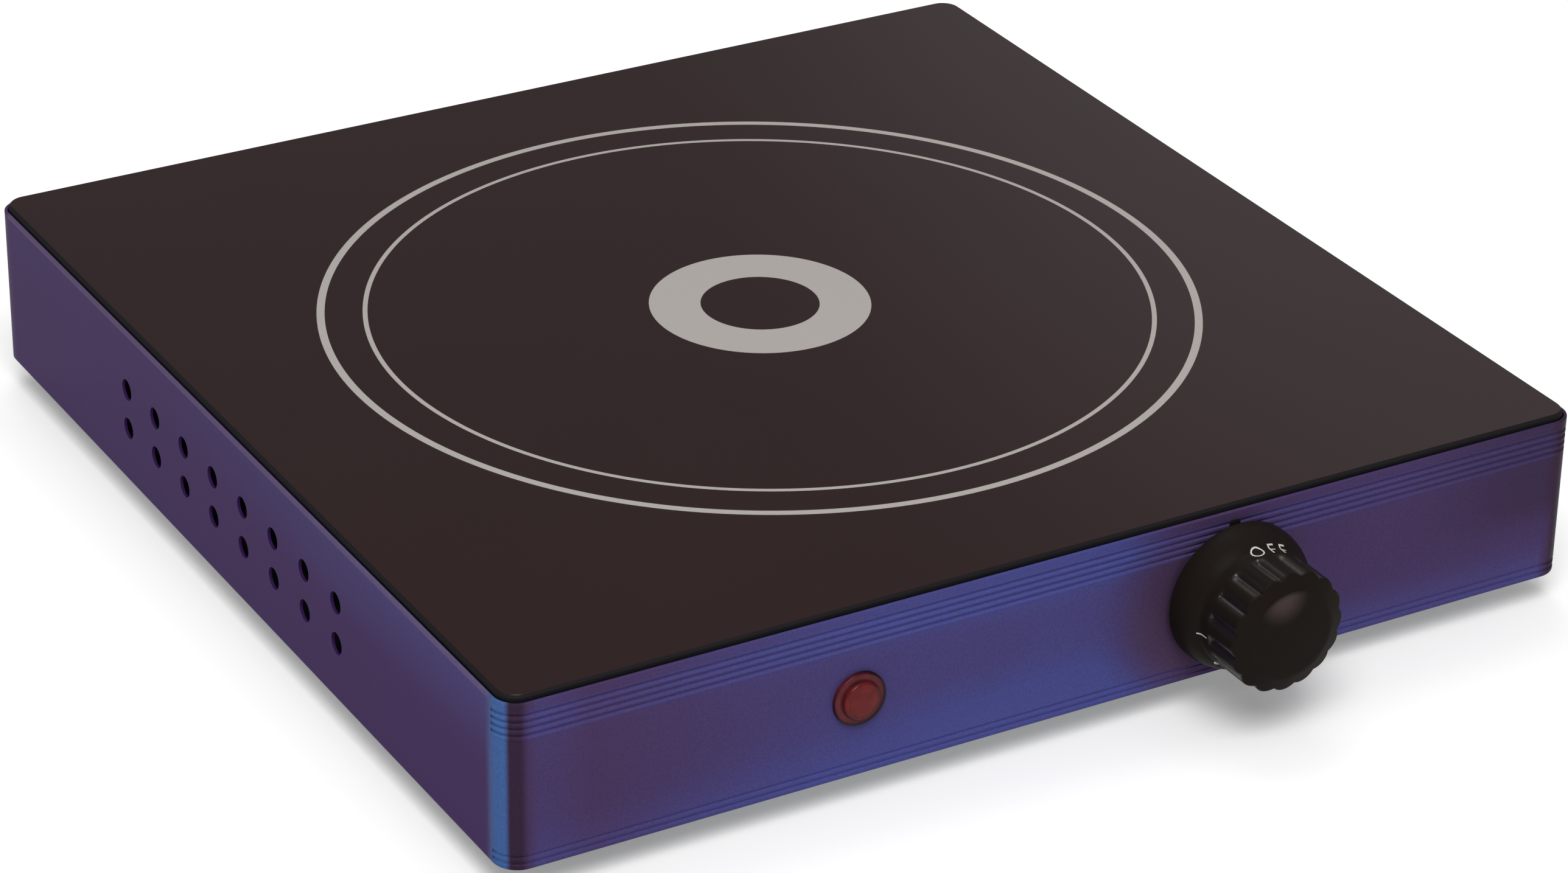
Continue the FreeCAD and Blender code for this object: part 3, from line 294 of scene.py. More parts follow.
def bottom_bloom(tree, at):
    """Share of painted floor reflection along the bottom edge of front and rear, stronger towards the right.
    """
    low = add(tree, "MapRange", SOFT, {
        "Value": at["z"], "From Min": EDGE_Z, "From Max": EDGE_Z + 14 * MM, "To Min": 0.42, "To Max": 0.0})
    rightward = add(tree, "MapRange", {}, {
        "Value": at["x"], "From Min": -120 * MM, "From Max": 60 * MM, "To Min": 0.5, "To Max": 1.0})
    share = add(tree, "Math", MULTIPLY, {0: low, 1: rightward})
    return add(tree, "Math", MULTIPLY, {0: share, 1: at["ends"]})


def rolled_lines(tree, at):
    """Shares of the bands where the rolled lines lie, and of painted highlight and shade alternating across
    them.
    """
    top = add(tree, "MapRange", SOFT, {
        "Value": at["z"], "From Min": TOP_LINES - 7 * MM, "From Max": TOP_LINES - 6 * MM})
    over_top = add(tree, "MapRange", SOFT, {
        "Value": at["z"], "From Min": TOP_LINES + 0.6 * MM, "From Max": TOP_LINES + 1.2 * MM,
        "To Min": 1.0, "To Max": 0.0})
    top = add(tree, "Math", MULTIPLY, {0: top, 1: over_top})
    low = add(tree, "MapRange", SOFT, {
        "Value": at["z"], "From Min": LOW_LINES + 2.2 * MM, "From Max": LOW_LINES + 3 * MM,
        "To Min": 0.5, "To Max": 0.0})
    bands = add(tree, "Math", ADD, {0: top, 1: low})
    in_front = add(tree, "Math", LESS_THAN, {0: at["y"], 1: PANEL_Y + CORNER})
    bands = add(tree, "Math", MULTIPLY, {0: bands, 1: in_front})
    height = add(tree, "Math", SUBTRACT, {0: at["z"], 1: FIRST_CREST})
    phase = add(tree, "Math", MULTIPLY, {0: height, 1: 2 * math.pi / LINE_PITCH})
    line_light_wave = add(tree, "Math", {"operation": "COSINE"}, {0: phase})
    line_light_wave = add(tree, "Math", MULTIPLY, {0: line_light_wave, 1: bands})
    return bands, line_light_wave


def violet_lacquer():
    """Pearl lacquer baked on sheet steel: dark violet, with a blue reflection painted into its colour.

    The painted blue reflection is widest in the middle of the front and along its bottom edge, faint under
    the rim of the sides, and strong on the front left bend as a painted highlight, where a dark line of
    painted shade runs beside it. Along the bottom edge the painted floor reflection also makes the violet
    lighter. The sides are painted a deeper violet, as shade, and the top edge of their rim has a lighter
    painted highlight. The top of the right end of the front is painted darker, as shade. Round the knob,
    mostly on its left, painted shade takes away the painted reflection and turns the paint warmer. The rolled
    lines of the front get a painted blue highlight, brightest on their lower edge, and the low ones are
    fainter. The rear has the front's painted reflection, but no lines. Fine flakes and a faint orange peel
    break up the gloss.
    """
    made, tree, shader, place = surface("violet_pearl_lacquer", {
        "Metallic": 0.1, "Roughness": 0.42, "Specular IOR Level": 0.02})
    at = housing_places(tree, place)
    bottom = bottom_bloom(tree, at)
    painted_reflection = add(tree, "Math", ADD, {0: front_bloom(tree, at), 1: rim_bloom(tree, at)})
    painted_reflection = add(tree, "Math", CLAMPED_ADD, {0: painted_reflection, 1: bottom})

    # Slow drift of the painted reflection, about 40 mm across, so that it has no hard outline
    drift = add(tree, "TexNoise", {}, {"Vector": place, "Scale": grain(40), "Detail": 2.0})
    uneven = add(tree, "MapRange", {}, {
        "Value": drift, "From Min": NOISE_LOW, "From Max": NOISE_HIGH, "To Min": 0.8, "To Max": 1.1})
    painted_reflection = add(tree, "Math", CLAMPED_MULTIPLY, {0: painted_reflection, 1: uneven})

    # Painted shade round the knob, mostly on its left: the painted reflection fades out there
    knob_shade_middle = (AXIS_X - 6 * MM, PANEL_Y, AXIS_Z - 3 * MM)
    beside = add(tree, "VectorMath", SUBTRACT, {0: place, 1: knob_shade_middle})
    beside = add(tree, "VectorMath", LENGTH, {0: beside})
    out_of_knob_shade = add(tree, "MapRange", SOFT, {"Value": beside, "From Min": 14 * MM, "From Max": 34 * MM})
    painted_reflection = add(tree, "Math", MULTIPLY, {0: painted_reflection, 1: out_of_knob_shade})

    # The rolled lines get a painted blue highlight, less at the right
    bands, line_light_wave = rolled_lines(tree, at)
    line_painted_highlight = add(tree, "MapRange", SOFT, {
        "Value": at["x"], "From Min": 60 * MM, "From Max": 125 * MM, "To Min": 0.27, "To Max": 0.13})
    line_painted_highlight = add(tree, "Math", MULTIPLY, {0: bands, 1: line_painted_highlight})
    painted_reflection = add(tree, "Math", CLAMPED_ADD, {0: line_painted_highlight, 1: painted_reflection})

    # Violet with painted shade: darker at the top of the right end, warmer round the knob, deeper on the
    # sides
    right_end_painted_shade = add(tree, "MapRange", SOFT, {"Value": at["x"], "From Min": 90 * MM, "From Max": 140 * MM})
    upper = add(tree, "MapRange", SOFT, {
        "Value": at["z"], "From Min": EDGE_Z + 12 * MM, "From Max": EDGE_Z + 25 * MM,
        "To Min": 0.05, "To Max": 1.0})
    right_end_painted_shade = add(tree, "Math", MULTIPLY, {0: right_end_painted_shade, 1: upper})
    tint = add(tree, "Mix", COLOUR, {SHARE: right_end_painted_shade, FIRST: linear("#48365B"), SECOND: linear("#3C2B42")})
    tint = add(tree, "Mix", COLOUR, {SHARE: out_of_knob_shade, FIRST: linear("#4A3752"), SECOND: tint})
    # Painted highlight along the top edge of the sides' rim
    rim_painted_highlight = add(tree, "MapRange", SOFT, {
        "Value": at["z"], "From Min": RIM_Z - 1.3 * MM, "From Max": RIM_Z - 0.5 * MM, "To Max": 0.6})
    rim_painted_highlight = add(tree, "Math", MULTIPLY, {0: rim_painted_highlight, 1: at["sides"]})
    # Painted shade in a dark line on the front bends, and a painted blue highlight beside it on the left
    dark, blue = bend_strips(tree, at)
    layers = (
        (at["sides"], "#3C2158"), (painted_reflection, "#474A87"), (rim_painted_highlight, "#6A5D78"), (dark, "#35253A"), (blue, "#416199"))
    for share, code in layers:
        tint = add(tree, "Mix", COLOUR, {SHARE: share, FIRST: tint, SECOND: linear(code)})

    # Flakes are some 0.05 mm wide and would not show, so they are drawn 0.6 mm wide
    flakes = add(tree, "TexNoise", {}, {"Vector": place, "Scale": grain(0.6), "Detail": 3.0})
    spark = add(tree, "MapRange", {}, {
        "Value": flakes, "From Min": 0.35, "From Max": 0.65, "To Min": 0.92, "To Max": 1.08})
    # Painted floor reflection lightens the bottom edge, and painted highlight and shade run across the rolled
    # lines
    paler = add(tree, "Math", MULTIPLY_ADD, {0: bottom, 1: 0.33, 2: 1.0})
    painted_line_light = add(tree, "Math", MULTIPLY_ADD, {0: line_light_wave, 1: 0.22, 2: paler})
    spark = add(tree, "Math", MULTIPLY, {0: spark, 1: painted_line_light})
    tint = add(tree, "VectorMath", SCALE, {0: tint, "Scale": spark})
    peel = add(tree, "TexNoise", {}, {"Vector": place, "Scale": grain(3), "Detail": 1.0})
    skin = add(tree, "Bump", {}, {"Height": peel, "Strength": 0.25, "Distance": 0.05 * MM})
    fill(tree, shader, {"Base Color": tint, "Normal": skin})
    return made


def black_glass_ceramic():
    """Polished glass-ceramic: brown-black, hard gloss, faint wiping marks, matt ground edge painted black as
    shade.
    """
    made, tree, shader, place = surface("black_glass_ceramic", {
        "IOR": 1.54, "Specular IOR Level": 0.2, "Roughness": 0.07})
    height = add(tree, "SeparateXYZ", {}, {"Vector": place}).outputs["Z"]
    polished = add(tree, "MapRange", {}, {
        "Value": height, "From Min": GLASS_TOP - 0.12 * MM, "From Max": GLASS_TOP - 0.02 * MM})
    depth = add(tree, "TexNoise", {}, {"Vector": place, "Scale": grain(60), "Detail": 2.0})
    shade = add(tree, "Mix", COLOUR, {SHARE: depth, FIRST: linear("#251415"), SECOND: linear("#281718")})
    # Below the polished top the edge is painted near black, as painted shade
    shade = add(tree, "Mix", COLOUR, {SHARE: polished, FIRST: linear("#0C090E"), SECOND: shade})
    pulled = add(tree, "Mapping", {}, {"Vector": place, "Scale": (1, 0.25, 1), "Rotation": (0, 0, 0.5)})
    wiped = add(tree, "TexNoise", {}, {"Vector": pulled, "Scale": grain(25), "Detail": 4.0})
    gloss = add(tree, "MapRange", {}, {
        "Value": wiped, "From Min": NOISE_LOW, "From Max": NOISE_HIGH, "To Min": 0.05, "To Max": 0.09})
    gloss = add(tree, "Mix", {"data_type": "FLOAT"}, {"Factor": polished, "A": 0.75, "B": gloss})
    fill(tree, shader, {"Base Color": shade, "Roughness": gloss})
    return made


def red_lens_plastic():
    """Tinted polycarbonate moulding, red, with light and shade painted on in rings.

    The cap is painted orange-red, as light that comes through it, and its groove darker, as painted shade.
    The flange is a muted red, and its edge is painted nearly black, as shade where the panel behind it gives
    back no light. The painted dark edge is widest at the lower right, as shade from light at the upper left,
    so the pattern's middle lies a little to the upper left.
    """
    made, tree, shader, place = surface("red_polycarbonate", {
        "Roughness": 0.25, "IOR": 1.58, "Specular IOR Level": 0.06, "Transmission Weight": 0.1})
    off_middle = (LENS_SHIFT - LAMP_X, 0, -LENS_SHIFT - LAMP_Z)
    middle = add(tree, "Mapping", {}, {"Vector": place, "Location": off_middle, "Scale": (1, 0, 1)})
    reach = add(tree, "VectorMath", LENGTH, {0: middle})
    reach = add(tree, "MapRange", {}, {"Value": reach, "From Max": FLANGE_R})
    shade = add(tree, "ValToRGB", {}, {"Fac": reach})
    fill_ramp(shade, (
        (0.0, "#651D21"), (0.56, "#68201F"), (0.66, "#561A1E"), (0.72, "#4A161B"),
        (0.78, "#5E222A"), (0.87, "#5A212A"), (0.97, "#240A10")))
    clouds = add(tree, "TexNoise", {}, {"Vector": place, "Scale": grain(2.5), "Detail": 2.0})
    glow = add(tree, "MapRange", {}, {
        "Value": clouds, "From Min": NOISE_LOW, "From Max": NOISE_HIGH, "To Min": 0.8, "To Max": 1.2})
    shade = add(tree, "VectorMath", SCALE, {0: shade, "Scale": glow})
    fill(tree, shader, {"Base Color": shade})
    return made


def black_thermoset():
    """Moulded thermoset: warm black with a fine eroded grain, and a lighter painted sheen on its face near
    the top.

    The bottoms of the flutes, which no finger touches, keep the mould's polish and catch the light.
    """
    made, tree, shader, place = surface("black_thermoset", {})
    depth = add(tree, "SeparateXYZ", {}, {"Vector": place}).outputs["Y"]
    specks = add(tree, "TexNoise", {}, {"Vector": place, "Scale": grain(0.7), "Detail": 4.0})
    shade = add(tree, "Mix", COLOUR, {SHARE: specks, FIRST: linear("#1B1613"), SECOND: linear("#201B18")})
    skin = add(tree, "Bump", {}, {"Height": specks, "Strength": 0.4, "Distance": 0.02 * MM})

    # Painted sheen on the face, a lighter patch 3 mm left of the axis and 11 mm over it
    on_face = add(tree, "MapRange", {}, {
        "Value": depth, "From Min": PANEL_Y - (FACE_OUT + 0.1) * MM,
        "From Max": PANEL_Y - (FACE_OUT - 0.2) * MM, "To Min": 1.0, "To Max": 0.0})
    from_axis = add(tree, "VectorMath", SUBTRACT, {0: place, 1: (AXIS_X, 0, AXIS_Z)})
    aside = add(tree, "VectorMath", MULTIPLY_ADD, {0: from_axis, 1: (1, 0, 1), 2: (3 * MM, 0, -11 * MM)})
    aside = add(tree, "VectorMath", LENGTH, {0: aside})
    face_painted_sheen = add(tree, "MapRange", SOFT, {
        "Value": aside, "From Min": 1 * MM, "From Max": 8 * MM, "To Min": 1.0, "To Max": 0.0})
    face_painted_sheen = add(tree, "Math", MULTIPLY, {0: face_painted_sheen, 1: on_face})
    shade = add(tree, "Mix", COLOUR, {SHARE: face_painted_sheen, FIRST: shade, SECOND: linear("#463B3A")})

    # Polish at the bottoms of the flutes, which ends short of the face
    reach = add(tree, "VectorMath", MULTIPLY, {0: from_axis, 1: (1, 0, 1)})
    reach = add(tree, "VectorMath", LENGTH, {0: reach})
    sunk = add(tree, "MapRange", SOFT, {
        "Value": reach, "From Min": (GRIP_R - 0.5) * MM, "From Max": (GRIP_R - 0.1) * MM,
        "To Min": 1.0, "To Max": 0.0})
    behind_face = add(tree, "MapRange", {}, {
        "Value": depth, "From Min": PANEL_Y - (FACE_OUT - 1.8) * MM,
        "From Max": PANEL_Y - (FACE_OUT - 2.8) * MM})
    polish = add(tree, "Math", MULTIPLY, {0: sunk, 1: behind_face})
    shine = add(tree, "MapRange", {}, {"Value": polish, "To Min": 0.02, "To Max": 0.3})
    smooth = add(tree, "MapRange", {}, {"Value": polish, "To Min": 0.36, "To Max": 0.2})
    fill(tree, shader, {
        "Base Color": shade, "Specular IOR Level": shine, "Roughness": smooth, "Normal": skin})
    return made


def clear_quartz(name, tint):
    """Drawn clear tube: see-through, with a faintly uneven skin."""
    made, tree, shader, place = surface(name, {
        "Base Color": linear(tint), "Roughness": 0.05, "IOR": 1.46, "Transmission Weight": 0.85})
    ripples = add(tree, "TexNoise", {}, {"Vector": place, "Scale": grain(1.5), "Detail": 2.0})
    skin = add(tree, "Bump", {}, {"Height": ripples, "Strength": 0.2, "Distance": 0.02 * MM})
    fill(tree, shader, {"Normal": skin})
    return made


def paper_floor():
    """Pale paper: matt, lifted to white for the camera and for reflections, with the object's shadow kept."""
    made, tree, shader, _ = surface("pale_paper_floor", {
        "Base Color": linear("#F2F2F1"), "Roughness": 0.9, "Specular IOR Level": 0.0,
        "Emission Color": (1, 1, 1, 1)})
    path = add(tree, "LightPath", {}, {}).outputs
    seen = add(tree, "Math", MAXIMUM, {0: path["Is Camera Ray"], 1: path["Is Glossy Ray"]})
    seen = add(tree, "Math", MAXIMUM, {0: seen, 1: path["Is Transmission Ray"]})
    lift = add(tree, "Math", MULTIPLY, {0: seen, 1: 0.2})
    fill(tree, shader, {"Emission Strength": lift})
    return made


def coat(obj, material):
    """Gives an object one material."""
    obj.data.materials.clear()
    obj.data.materials.append(material)


def stand(name, data):
    """New object in the scene, for a mesh, curve, light or camera."""
    obj = bpy.data.objects.new(name, data)
    bpy.context.scene.collection.objects.link(obj)
    return obj


def whole_turn(count):
    """Row of angles that go once round, without the last, which would fall on the first."""
    return np.linspace(0, 2 * np.pi, count, endpoint=False)[None, :]


def grid(name, points, material, round_rows=False, smooth=True):
    """Mesh over a grid of points (row, column, xyz), whose columns close on themselves, and rows where asked.

    Points that fall together, as at a pole, are merged, and faces are turned outwards.
    """
    rows, columns = points.shape[:2]
    index = np.arange(rows * columns).reshape(rows, columns)
    index = np.hstack([index, index[:, :1]])
    if round_rows:
        index = np.vstack([index, index[:1]])
    faces = np.stack([index[:-1, :-1], index[:-1, 1:], index[1:, 1:], index[1:, :-1]], -1).reshape(-1, 4)
    mesh = bpy.data.meshes.new(name)
    mesh.from_pydata(points.reshape(-1, 3).tolist(), [], faces.tolist())
    made = bmesh.new()
    made.from_mesh(mesh)
    bmesh.ops.remove_doubles(made, verts=made.verts, dist=1e-7)
    bmesh.ops.recalc_face_normals(made, faces=made.faces)
    made.to_mesh(mesh)
    made.free()
    mesh.polygons.foreach_set("use_smooth", np.full(len(mesh.polygons), smooth))
    obj = stand(name, mesh)
    coat(obj, material)
    return obj


def round_knob(reach, turn, out):
    """Points at a radius from the knob's axis, an angle clockwise from straight up, and a way out (mm)."""
    reach, turn, out = np.broadcast_arrays(reach, turn, out)
    x = AXIS_X + reach * np.sin(turn) * MM
    y = PANEL_Y - out * MM
    z = AXIS_Z + reach * np.cos(turn) * MM
    return np.stack([x, y, z], -1)


def skirt_reach(out):
    """Radius of the knob before its flutes: straight edge, dome that starts upright, soft step."""
    rise = SHOULDER - SKIRT_EDGE
    lean = SKIRT_R - SHOULDER_R
    radius = (rise ** 2 + lean ** 2) / (2 * lean)
    up = np.clip(out - SKIRT_EDGE, 0, rise)
    dome = SKIRT_R - radius + np.sqrt(radius ** 2 - up ** 2)
    step = np.clip((out - STEP_START) / STEP_LENGTH, 0, 1)
    step = step * step * (3 - 2 * step)
    return dome + (GRIP_R - SHOULDER_R) * step


def ring_out(reach):
    """Way out of the sloping ring round the knob's face, at a radius."""
    return FACE_OUT - FACE_SLOPE * (reach - FACE_R)


def bow(start, corner, end, count):
    """Rows of a quadratic curve from start to end that leans to the corner, without the first."""
    t = np.linspace(0, 1, count)[1:, None]
    return (1 - t) ** 2 * start + 2 * t * (1 - t) * corner + t ** 2 * end


def knob_skin(material):
    """Knob as a turned surface whose radius dips between its lobes.

    Rows follow the meridian from the hub's bore, through the hollow, round the skirt's edge, up the dome and
    the grip, over the sloping ring and the crown. The dip grows with the square of the way from a lobe's
    middle to its notch, and fades to nothing where the grip runs into the skirt.
    """
    turn = whole_turn(LOBES * LOBE_COLUMNS)
    lobe = 2 * np.pi / LOBES
    off = np.abs((turn + lobe / 2) % lobe - lobe / 2) / (lobe / 2)
    dip = NOTCH * off ** 2
    level = np.linspace(KNOB_GAP + SKIRT_ROUND, FLUTE_START, WALL_ROWS)
    wall = np.stack([skirt_reach(level), level], -1)
    turned = np.concatenate([KNOB_INSIDE, wall])
    ones = np.ones_like(turn)
    reach = [turned[:, :1] * ones]
    out = [turned[:, 1:] * ones]

    # Grip, up to where its front rim begins
    rim_r = GRIP_R - dip
    rim = ring_out(rim_r)
    level = FLUTE_START + (rim - RIM_BACK - FLUTE_START) * np.linspace(0, 1, GRIP_ROWS)[1:, None]
    fade = np.clip((level - FLUTE_START) / (FLUTE_FULL - FLUTE_START), 0, 1)
    fade = np.sqrt(1 - (1 - fade) ** 2)
    reach.append(GRIP_R - dip * fade)
    out.append(level)

    # Rounded rim, then the sloping ring
    ring_r = rim_r - RIM_IN
    reach.append(bow(rim_r, rim_r, ring_r, RIM_ROWS))
    out.append(bow(rim - RIM_BACK, rim, ring_out(ring_r), RIM_ROWS))
    slope_r = ring_r + (FACE_R + SEAM_OUT - ring_r) * np.linspace(0, 1, SLOPE_ROWS)[1:, None]
    reach.append(slope_r)
    out.append(ring_out(slope_r))

    # Crown, a shallow part of a ball
    crown = (FACE_R ** 2 + (KNOB_FRONT - FACE_OUT) ** 2) / (2 * (KNOB_FRONT - FACE_OUT))
    face_r = np.linspace(FACE_R - SEAM_IN, 0, CROWN_ROWS)[:, None] * ones
    reach.append(face_r)
    out.append(KNOB_FRONT - crown + np.sqrt(crown ** 2 - face_r ** 2))
    return grid("knob_skin", round_knob(np.concatenate(reach), turn, np.concatenate(out)), material)


def lettering(name, words, height, turn_deg, foot, spacing, material):
    """Print bent round the knob: its line turns about the axis, and up the letters leads to the panel.

    A flat mesh of the letters is cut into small squares, then each point goes to the knob's own radius at its
    distance from the panel, plus the thickness of the ink.
    """
    flat = bpy.data.curves.new(name, "FONT")
    flat.body = words
    flat.align_x = "CENTER"
    flat.space_character = spacing
    flat.extrude = LETTER_HALF
    flat.offset = LETTER_THIN
    flat.resolution_u = 5
    source = stand(name + "_flat", flat)
    mesh = bpy.data.meshes.new_from_object(source)
    bpy.data.objects.remove(source)
    cut = bmesh.new()
    cut.from_mesh(mesh)
    bmesh.ops.remove_doubles(cut, verts=cut.verts, dist=1e-5)
    for axis in ((1, 0, 0), (0, 1, 0)):
        for step in np.arange(-LETTER_REACH, LETTER_REACH + 0.1, LETTER_CUT):
            parts = cut.verts[:] + cut.edges[:] + cut.faces[:]
            bmesh.ops.bisect_plane(cut, geom=parts, plane_co=Vector(axis) * step, plane_no=axis)
    cut.to_mesh(mesh)
    cut.free()
    spots = np.empty(len(mesh.vertices) * 3)
    mesh.vertices.foreach_get("co", spots)
    spots = spots.reshape(-1, 3)
    low = spots[:, 1].min()
    size = height / (spots[:, 1].max() - low)
    out = foot - (spots[:, 1] - low) * size
    turn = math.radians(turn_deg) + spots[:, 0] * size / SHOULDER_R
    ink = INK / 2 * (1 + spots[:, 2] / LETTER_HALF)
    mesh.vertices.foreach_set("co", round_knob(skirt_reach(out) + ink, turn, out).ravel())
    mesh.update()
    obj = stand(name, mesh)
    coat(obj, material)
    return obj


def printed_ring(name, inner, outer, material):
    """Flat ring of fired print on the glass: a low trapezium carried round its middle (sizes in mm)."""
    turn = whole_turn(288)
    section = np.array([
        (inner, PRINT_FOOT), (inner + PRINT_BEVEL, PRINT_TOP), (outer - PRINT_BEVEL, PRINT_TOP),
        (outer, PRINT_FOOT)])
    reach = section[:, :1] * MM
    x = reach * np.cos(turn)
    y = PRINT_Y + reach * np.sin(turn)
    z = np.broadcast_to(GLASS_TOP + section[:, 1:] * MM, x.shape)
    return grid(name, np.stack([x, y, z], -1), material, round_rows=True, smooth=False)


def index_mark(material):
    """Small raised bar on the panel over the knob: a squared oval that rises to a flat top.

    The oval takes the square root of the cosine and sine, with their signs. Each row has a share of the
    oval's size and a way out of the panel in mm.
    """
    turn = whole_turn(64)
    across = np.sign(np.cos(turn)) * np.abs(np.cos(turn)) ** 0.5
    up = np.sign(np.sin(turn)) * np.abs(np.sin(turn)) ** 0.5
    rise = np.array([(1.0, -0.05), (1.0, 0.2), (0.97, 0.3), (0.88, 0.36), (0.7, 0.4), (0.0, 0.4)])
    share = rise[:, :1]
    x = AXIS_X + MARK_HALF_WIDTH * MM * share * across
    z = AXIS_Z + (MARK_OVER_AXIS + MARK_HALF_HEIGHT * share * up) * MM
    y = np.broadcast_to(PANEL_Y - rise[:, 1:] * MM, x.shape)
    return grid("index_mark", np.stack([x, y, z], -1), material)


def lens_facets(material):
    """Cut cap of the pilot lamp: eight-sided rings that step in and rise to a small flat.

    Each ring has a radius and a way out of the panel in mm.
    """
    turn = whole_turn(8) + math.radians(22.5)
    steps = np.array([(4.05, 2.4), (4.0, 2.56), (3.0, 2.7), (1.5, 2.77), (0.0, 2.78)])
    reach = steps[:, :1] * MM
    x = LAMP_X + reach * np.sin(turn)
    z = LAMP_Z + reach * np.cos(turn)
    y = np.broadcast_to(PANEL_Y - steps[:, 1:] * MM, x.shape)
    return grid("lens_facets", np.stack([x, y, z], -1), material, smooth=False)


def flat_floor(material):
    """Round floor at the height of the feet: rings about the origin, wider apart outwards."""
    turn = whole_turn(64)
    reach = np.array([0.0, 0.6, 2.0, 8.0, 30.0])[:, None]
    flat = np.stack([reach * np.cos(turn), reach * np.sin(turn), np.zeros_like(reach * turn)], -1)
    return grid("floor", flat, material)


def studio_room():
    """Dim grey room, paler overhead and in a wide patch behind on the right."""
    room = bpy.data.worlds.new("studio")
    room.use_nodes = True
    tree = room.node_tree
    tree.nodes.clear()
    way = add(tree, "TexCoord", {}, {}).outputs["Generated"]
    height = add(tree, "SeparateXYZ", {}, {"Vector": way}).outputs["Z"]
    overhead = add(tree, "MapRange", SOFT, {
        "Value": height, "From Min": 0.6, "From Max": 0.95, "To Min": 0.25, "To Max": 0.8})
    turn, lift, inner, outer = (math.radians(v) for v in (-44.2, 18, 9, 16))
    patch_way = (-math.sin(turn) * math.cos(lift), math.cos(turn) * math.cos(lift), math.sin(lift))
    near = add(tree, "VectorMath", {"operation": "DOT_PRODUCT"}, {0: way, 1: patch_way})
    patch = add(tree, "MapRange", SOFT, {
        "Value": near, "From Min": math.cos(outer), "From Max": math.cos(inner),
        "To Min": 0.0, "To Max": 0.28})
    level = add(tree, "Math", ADD, {0: overhead, 1: patch})
    air = add(tree, "Background", {}, {"Color": linear("#F4F2F2"), "Strength": level})
    add(tree, "OutputWorld", {}, {"Surface": air})
    return room


def soft_lamp(name, spot, width, power):
    """Square lamp that looks at the origin."""
    lamp = bpy.data.lights.new(name, "AREA")
    lamp.size = width
    lamp.energy = power
    holder = stand(name, lamp)
    holder.location = spot
    holder.rotation_euler = (-Vector(spot)).to_track_quat("-Z", "Y").to_euler()


def photo_camera():
    """Camera at the photograph's viewpoint: turned, raised and rolled about a point near the middle."""
    target = Vector((12.24 * MM, PLATE_Y + 6.53 * MM, 7.8 * MM))
    distance = 1328.7 * MM
    around, above, roll = (math.radians(v) for v in (-30.207, 27.767, 1.006))
    back = Vector((math.sin(around) * math.cos(above), -math.cos(around) * math.cos(above), math.sin(above)))
    right = Vector((math.cos(around), math.sin(around), 0))
    up = back.cross(right)
    level = right * math.cos(roll) + up * math.sin(roll)
    upright = up * math.cos(roll) - right * math.sin(roll)
    view = bpy.data.cameras.new("photo_camera")
    view.sensor_fit = "HORIZONTAL"
    view.sensor_width = 36
    view.lens = 115.07
    view.clip_start = 0.01
    view.clip_end = 200
    camera = stand("photo_camera", view)
    turned = Matrix((level, upright, back)).transposed().to_4x4()
    camera.matrix_world = Matrix.Translation(target + back * distance) @ turned
    return camera


# Finishes of the solids. Each comment says what the real surface is.
lacquer = violet_lacquer()
glass = black_glass_ceramic()
red_plastic = red_lens_plastic()
knob_black = black_thermoset()
# Moulded nylon, dull black
gland_black = mottled(
    "black_nylon", "#171717", "#202020", 0.9, 0.03, {"Roughness": 0.5, "Specular IOR Level": 0.3})
# Moulded rubber, dull dark grey with a dusty bloom
foot_rubber = mottled(
    "foot_rubber", "#1B1B1C", "#29292A", 1.4, 0.06, {"Roughness": 0.75, "Specular IOR Level": 0.25})
# Cured silicone bead, soft black
seal_rubber = mottled("silicone_bead", "#141414", "#1E1E1E", 2.0, 0.05, {"Roughness": 0.6})
# Zinc-plated sheet, cold grey with large soft spangles
zinc_sheet = mottled("zinc_sheet", "#8E9193", "#A9ACAE", 9.0, 0.01, {"Metallic": 0.9, "Roughness": 0.38})
# Zinc-plated screws, brighter, with a fine mottle
zinc_screw = mottled("zinc_screw", "#9A9C9C", "#BDBFBE", 0.5, 0.01, {"Metallic": 1.0, "Roughness": 0.3})
# Aluminised heater pan, pale and slightly rolled along its length
pan_sheet = mottled(
    "aluminised_sheet", "#A6A6A3", "#BCBCB8", 4.0, 0.01, {"Metallic": 0.9, "Roughness": 0.42}, (0.2, 1, 1))
# Pressed mineral board, chalky off-white
board = mottled(
    "pressed_mineral", "#CFCABD", "#E4E0D6", 1.2, 0.15, {"Roughness": 0.95, "Specular IOR Level": 0.1})
# Resistance strip, grey-brown from its first heating
strip_metal = mottled("oxidised_strip", "#3C3733", "#5A524B", 2.5, 0.01, {"Metallic": 0.8, "Roughness": 0.55})
# Unglazed steatite, cream and finely granular
steatite = mottled("steatite", "#D5CEBC", "#E6E0D1", 0.8, 0.04, {"Roughness": 0.7, "Specular IOR Level": 0.3})
# Phenolic moulding, brown-black with filler specks
phenolic = mottled("brown_phenolic", "#231510", "#3A251C", 0.8, 0.03, {"Roughness": 0.45})
# White nylon, slightly warm
white_nylon = mottled("white_nylon", "#D9D8D2", "#E7E6E1", 1.5, 0.02, {"Roughness": 0.4})
# Stamped brass terminals, dull yellow
brass = mottled("stamped_brass", "#A68A4E", "#C2A565", 1.6, 0.01, {"Metallic": 1.0, "Roughness": 0.35})
# Blued spring steel
spring_steel = mottled(
    "blued_spring_steel", "#44464B", "#5E6066", 1.8, 0.01, {"Metallic": 0.95, "Roughness": 0.35})
quartz = clear_quartz("clear_quartz", "#F2F2EE")
bulb_glass = clear_quartz("bulb_glass", "#F4EFE6")
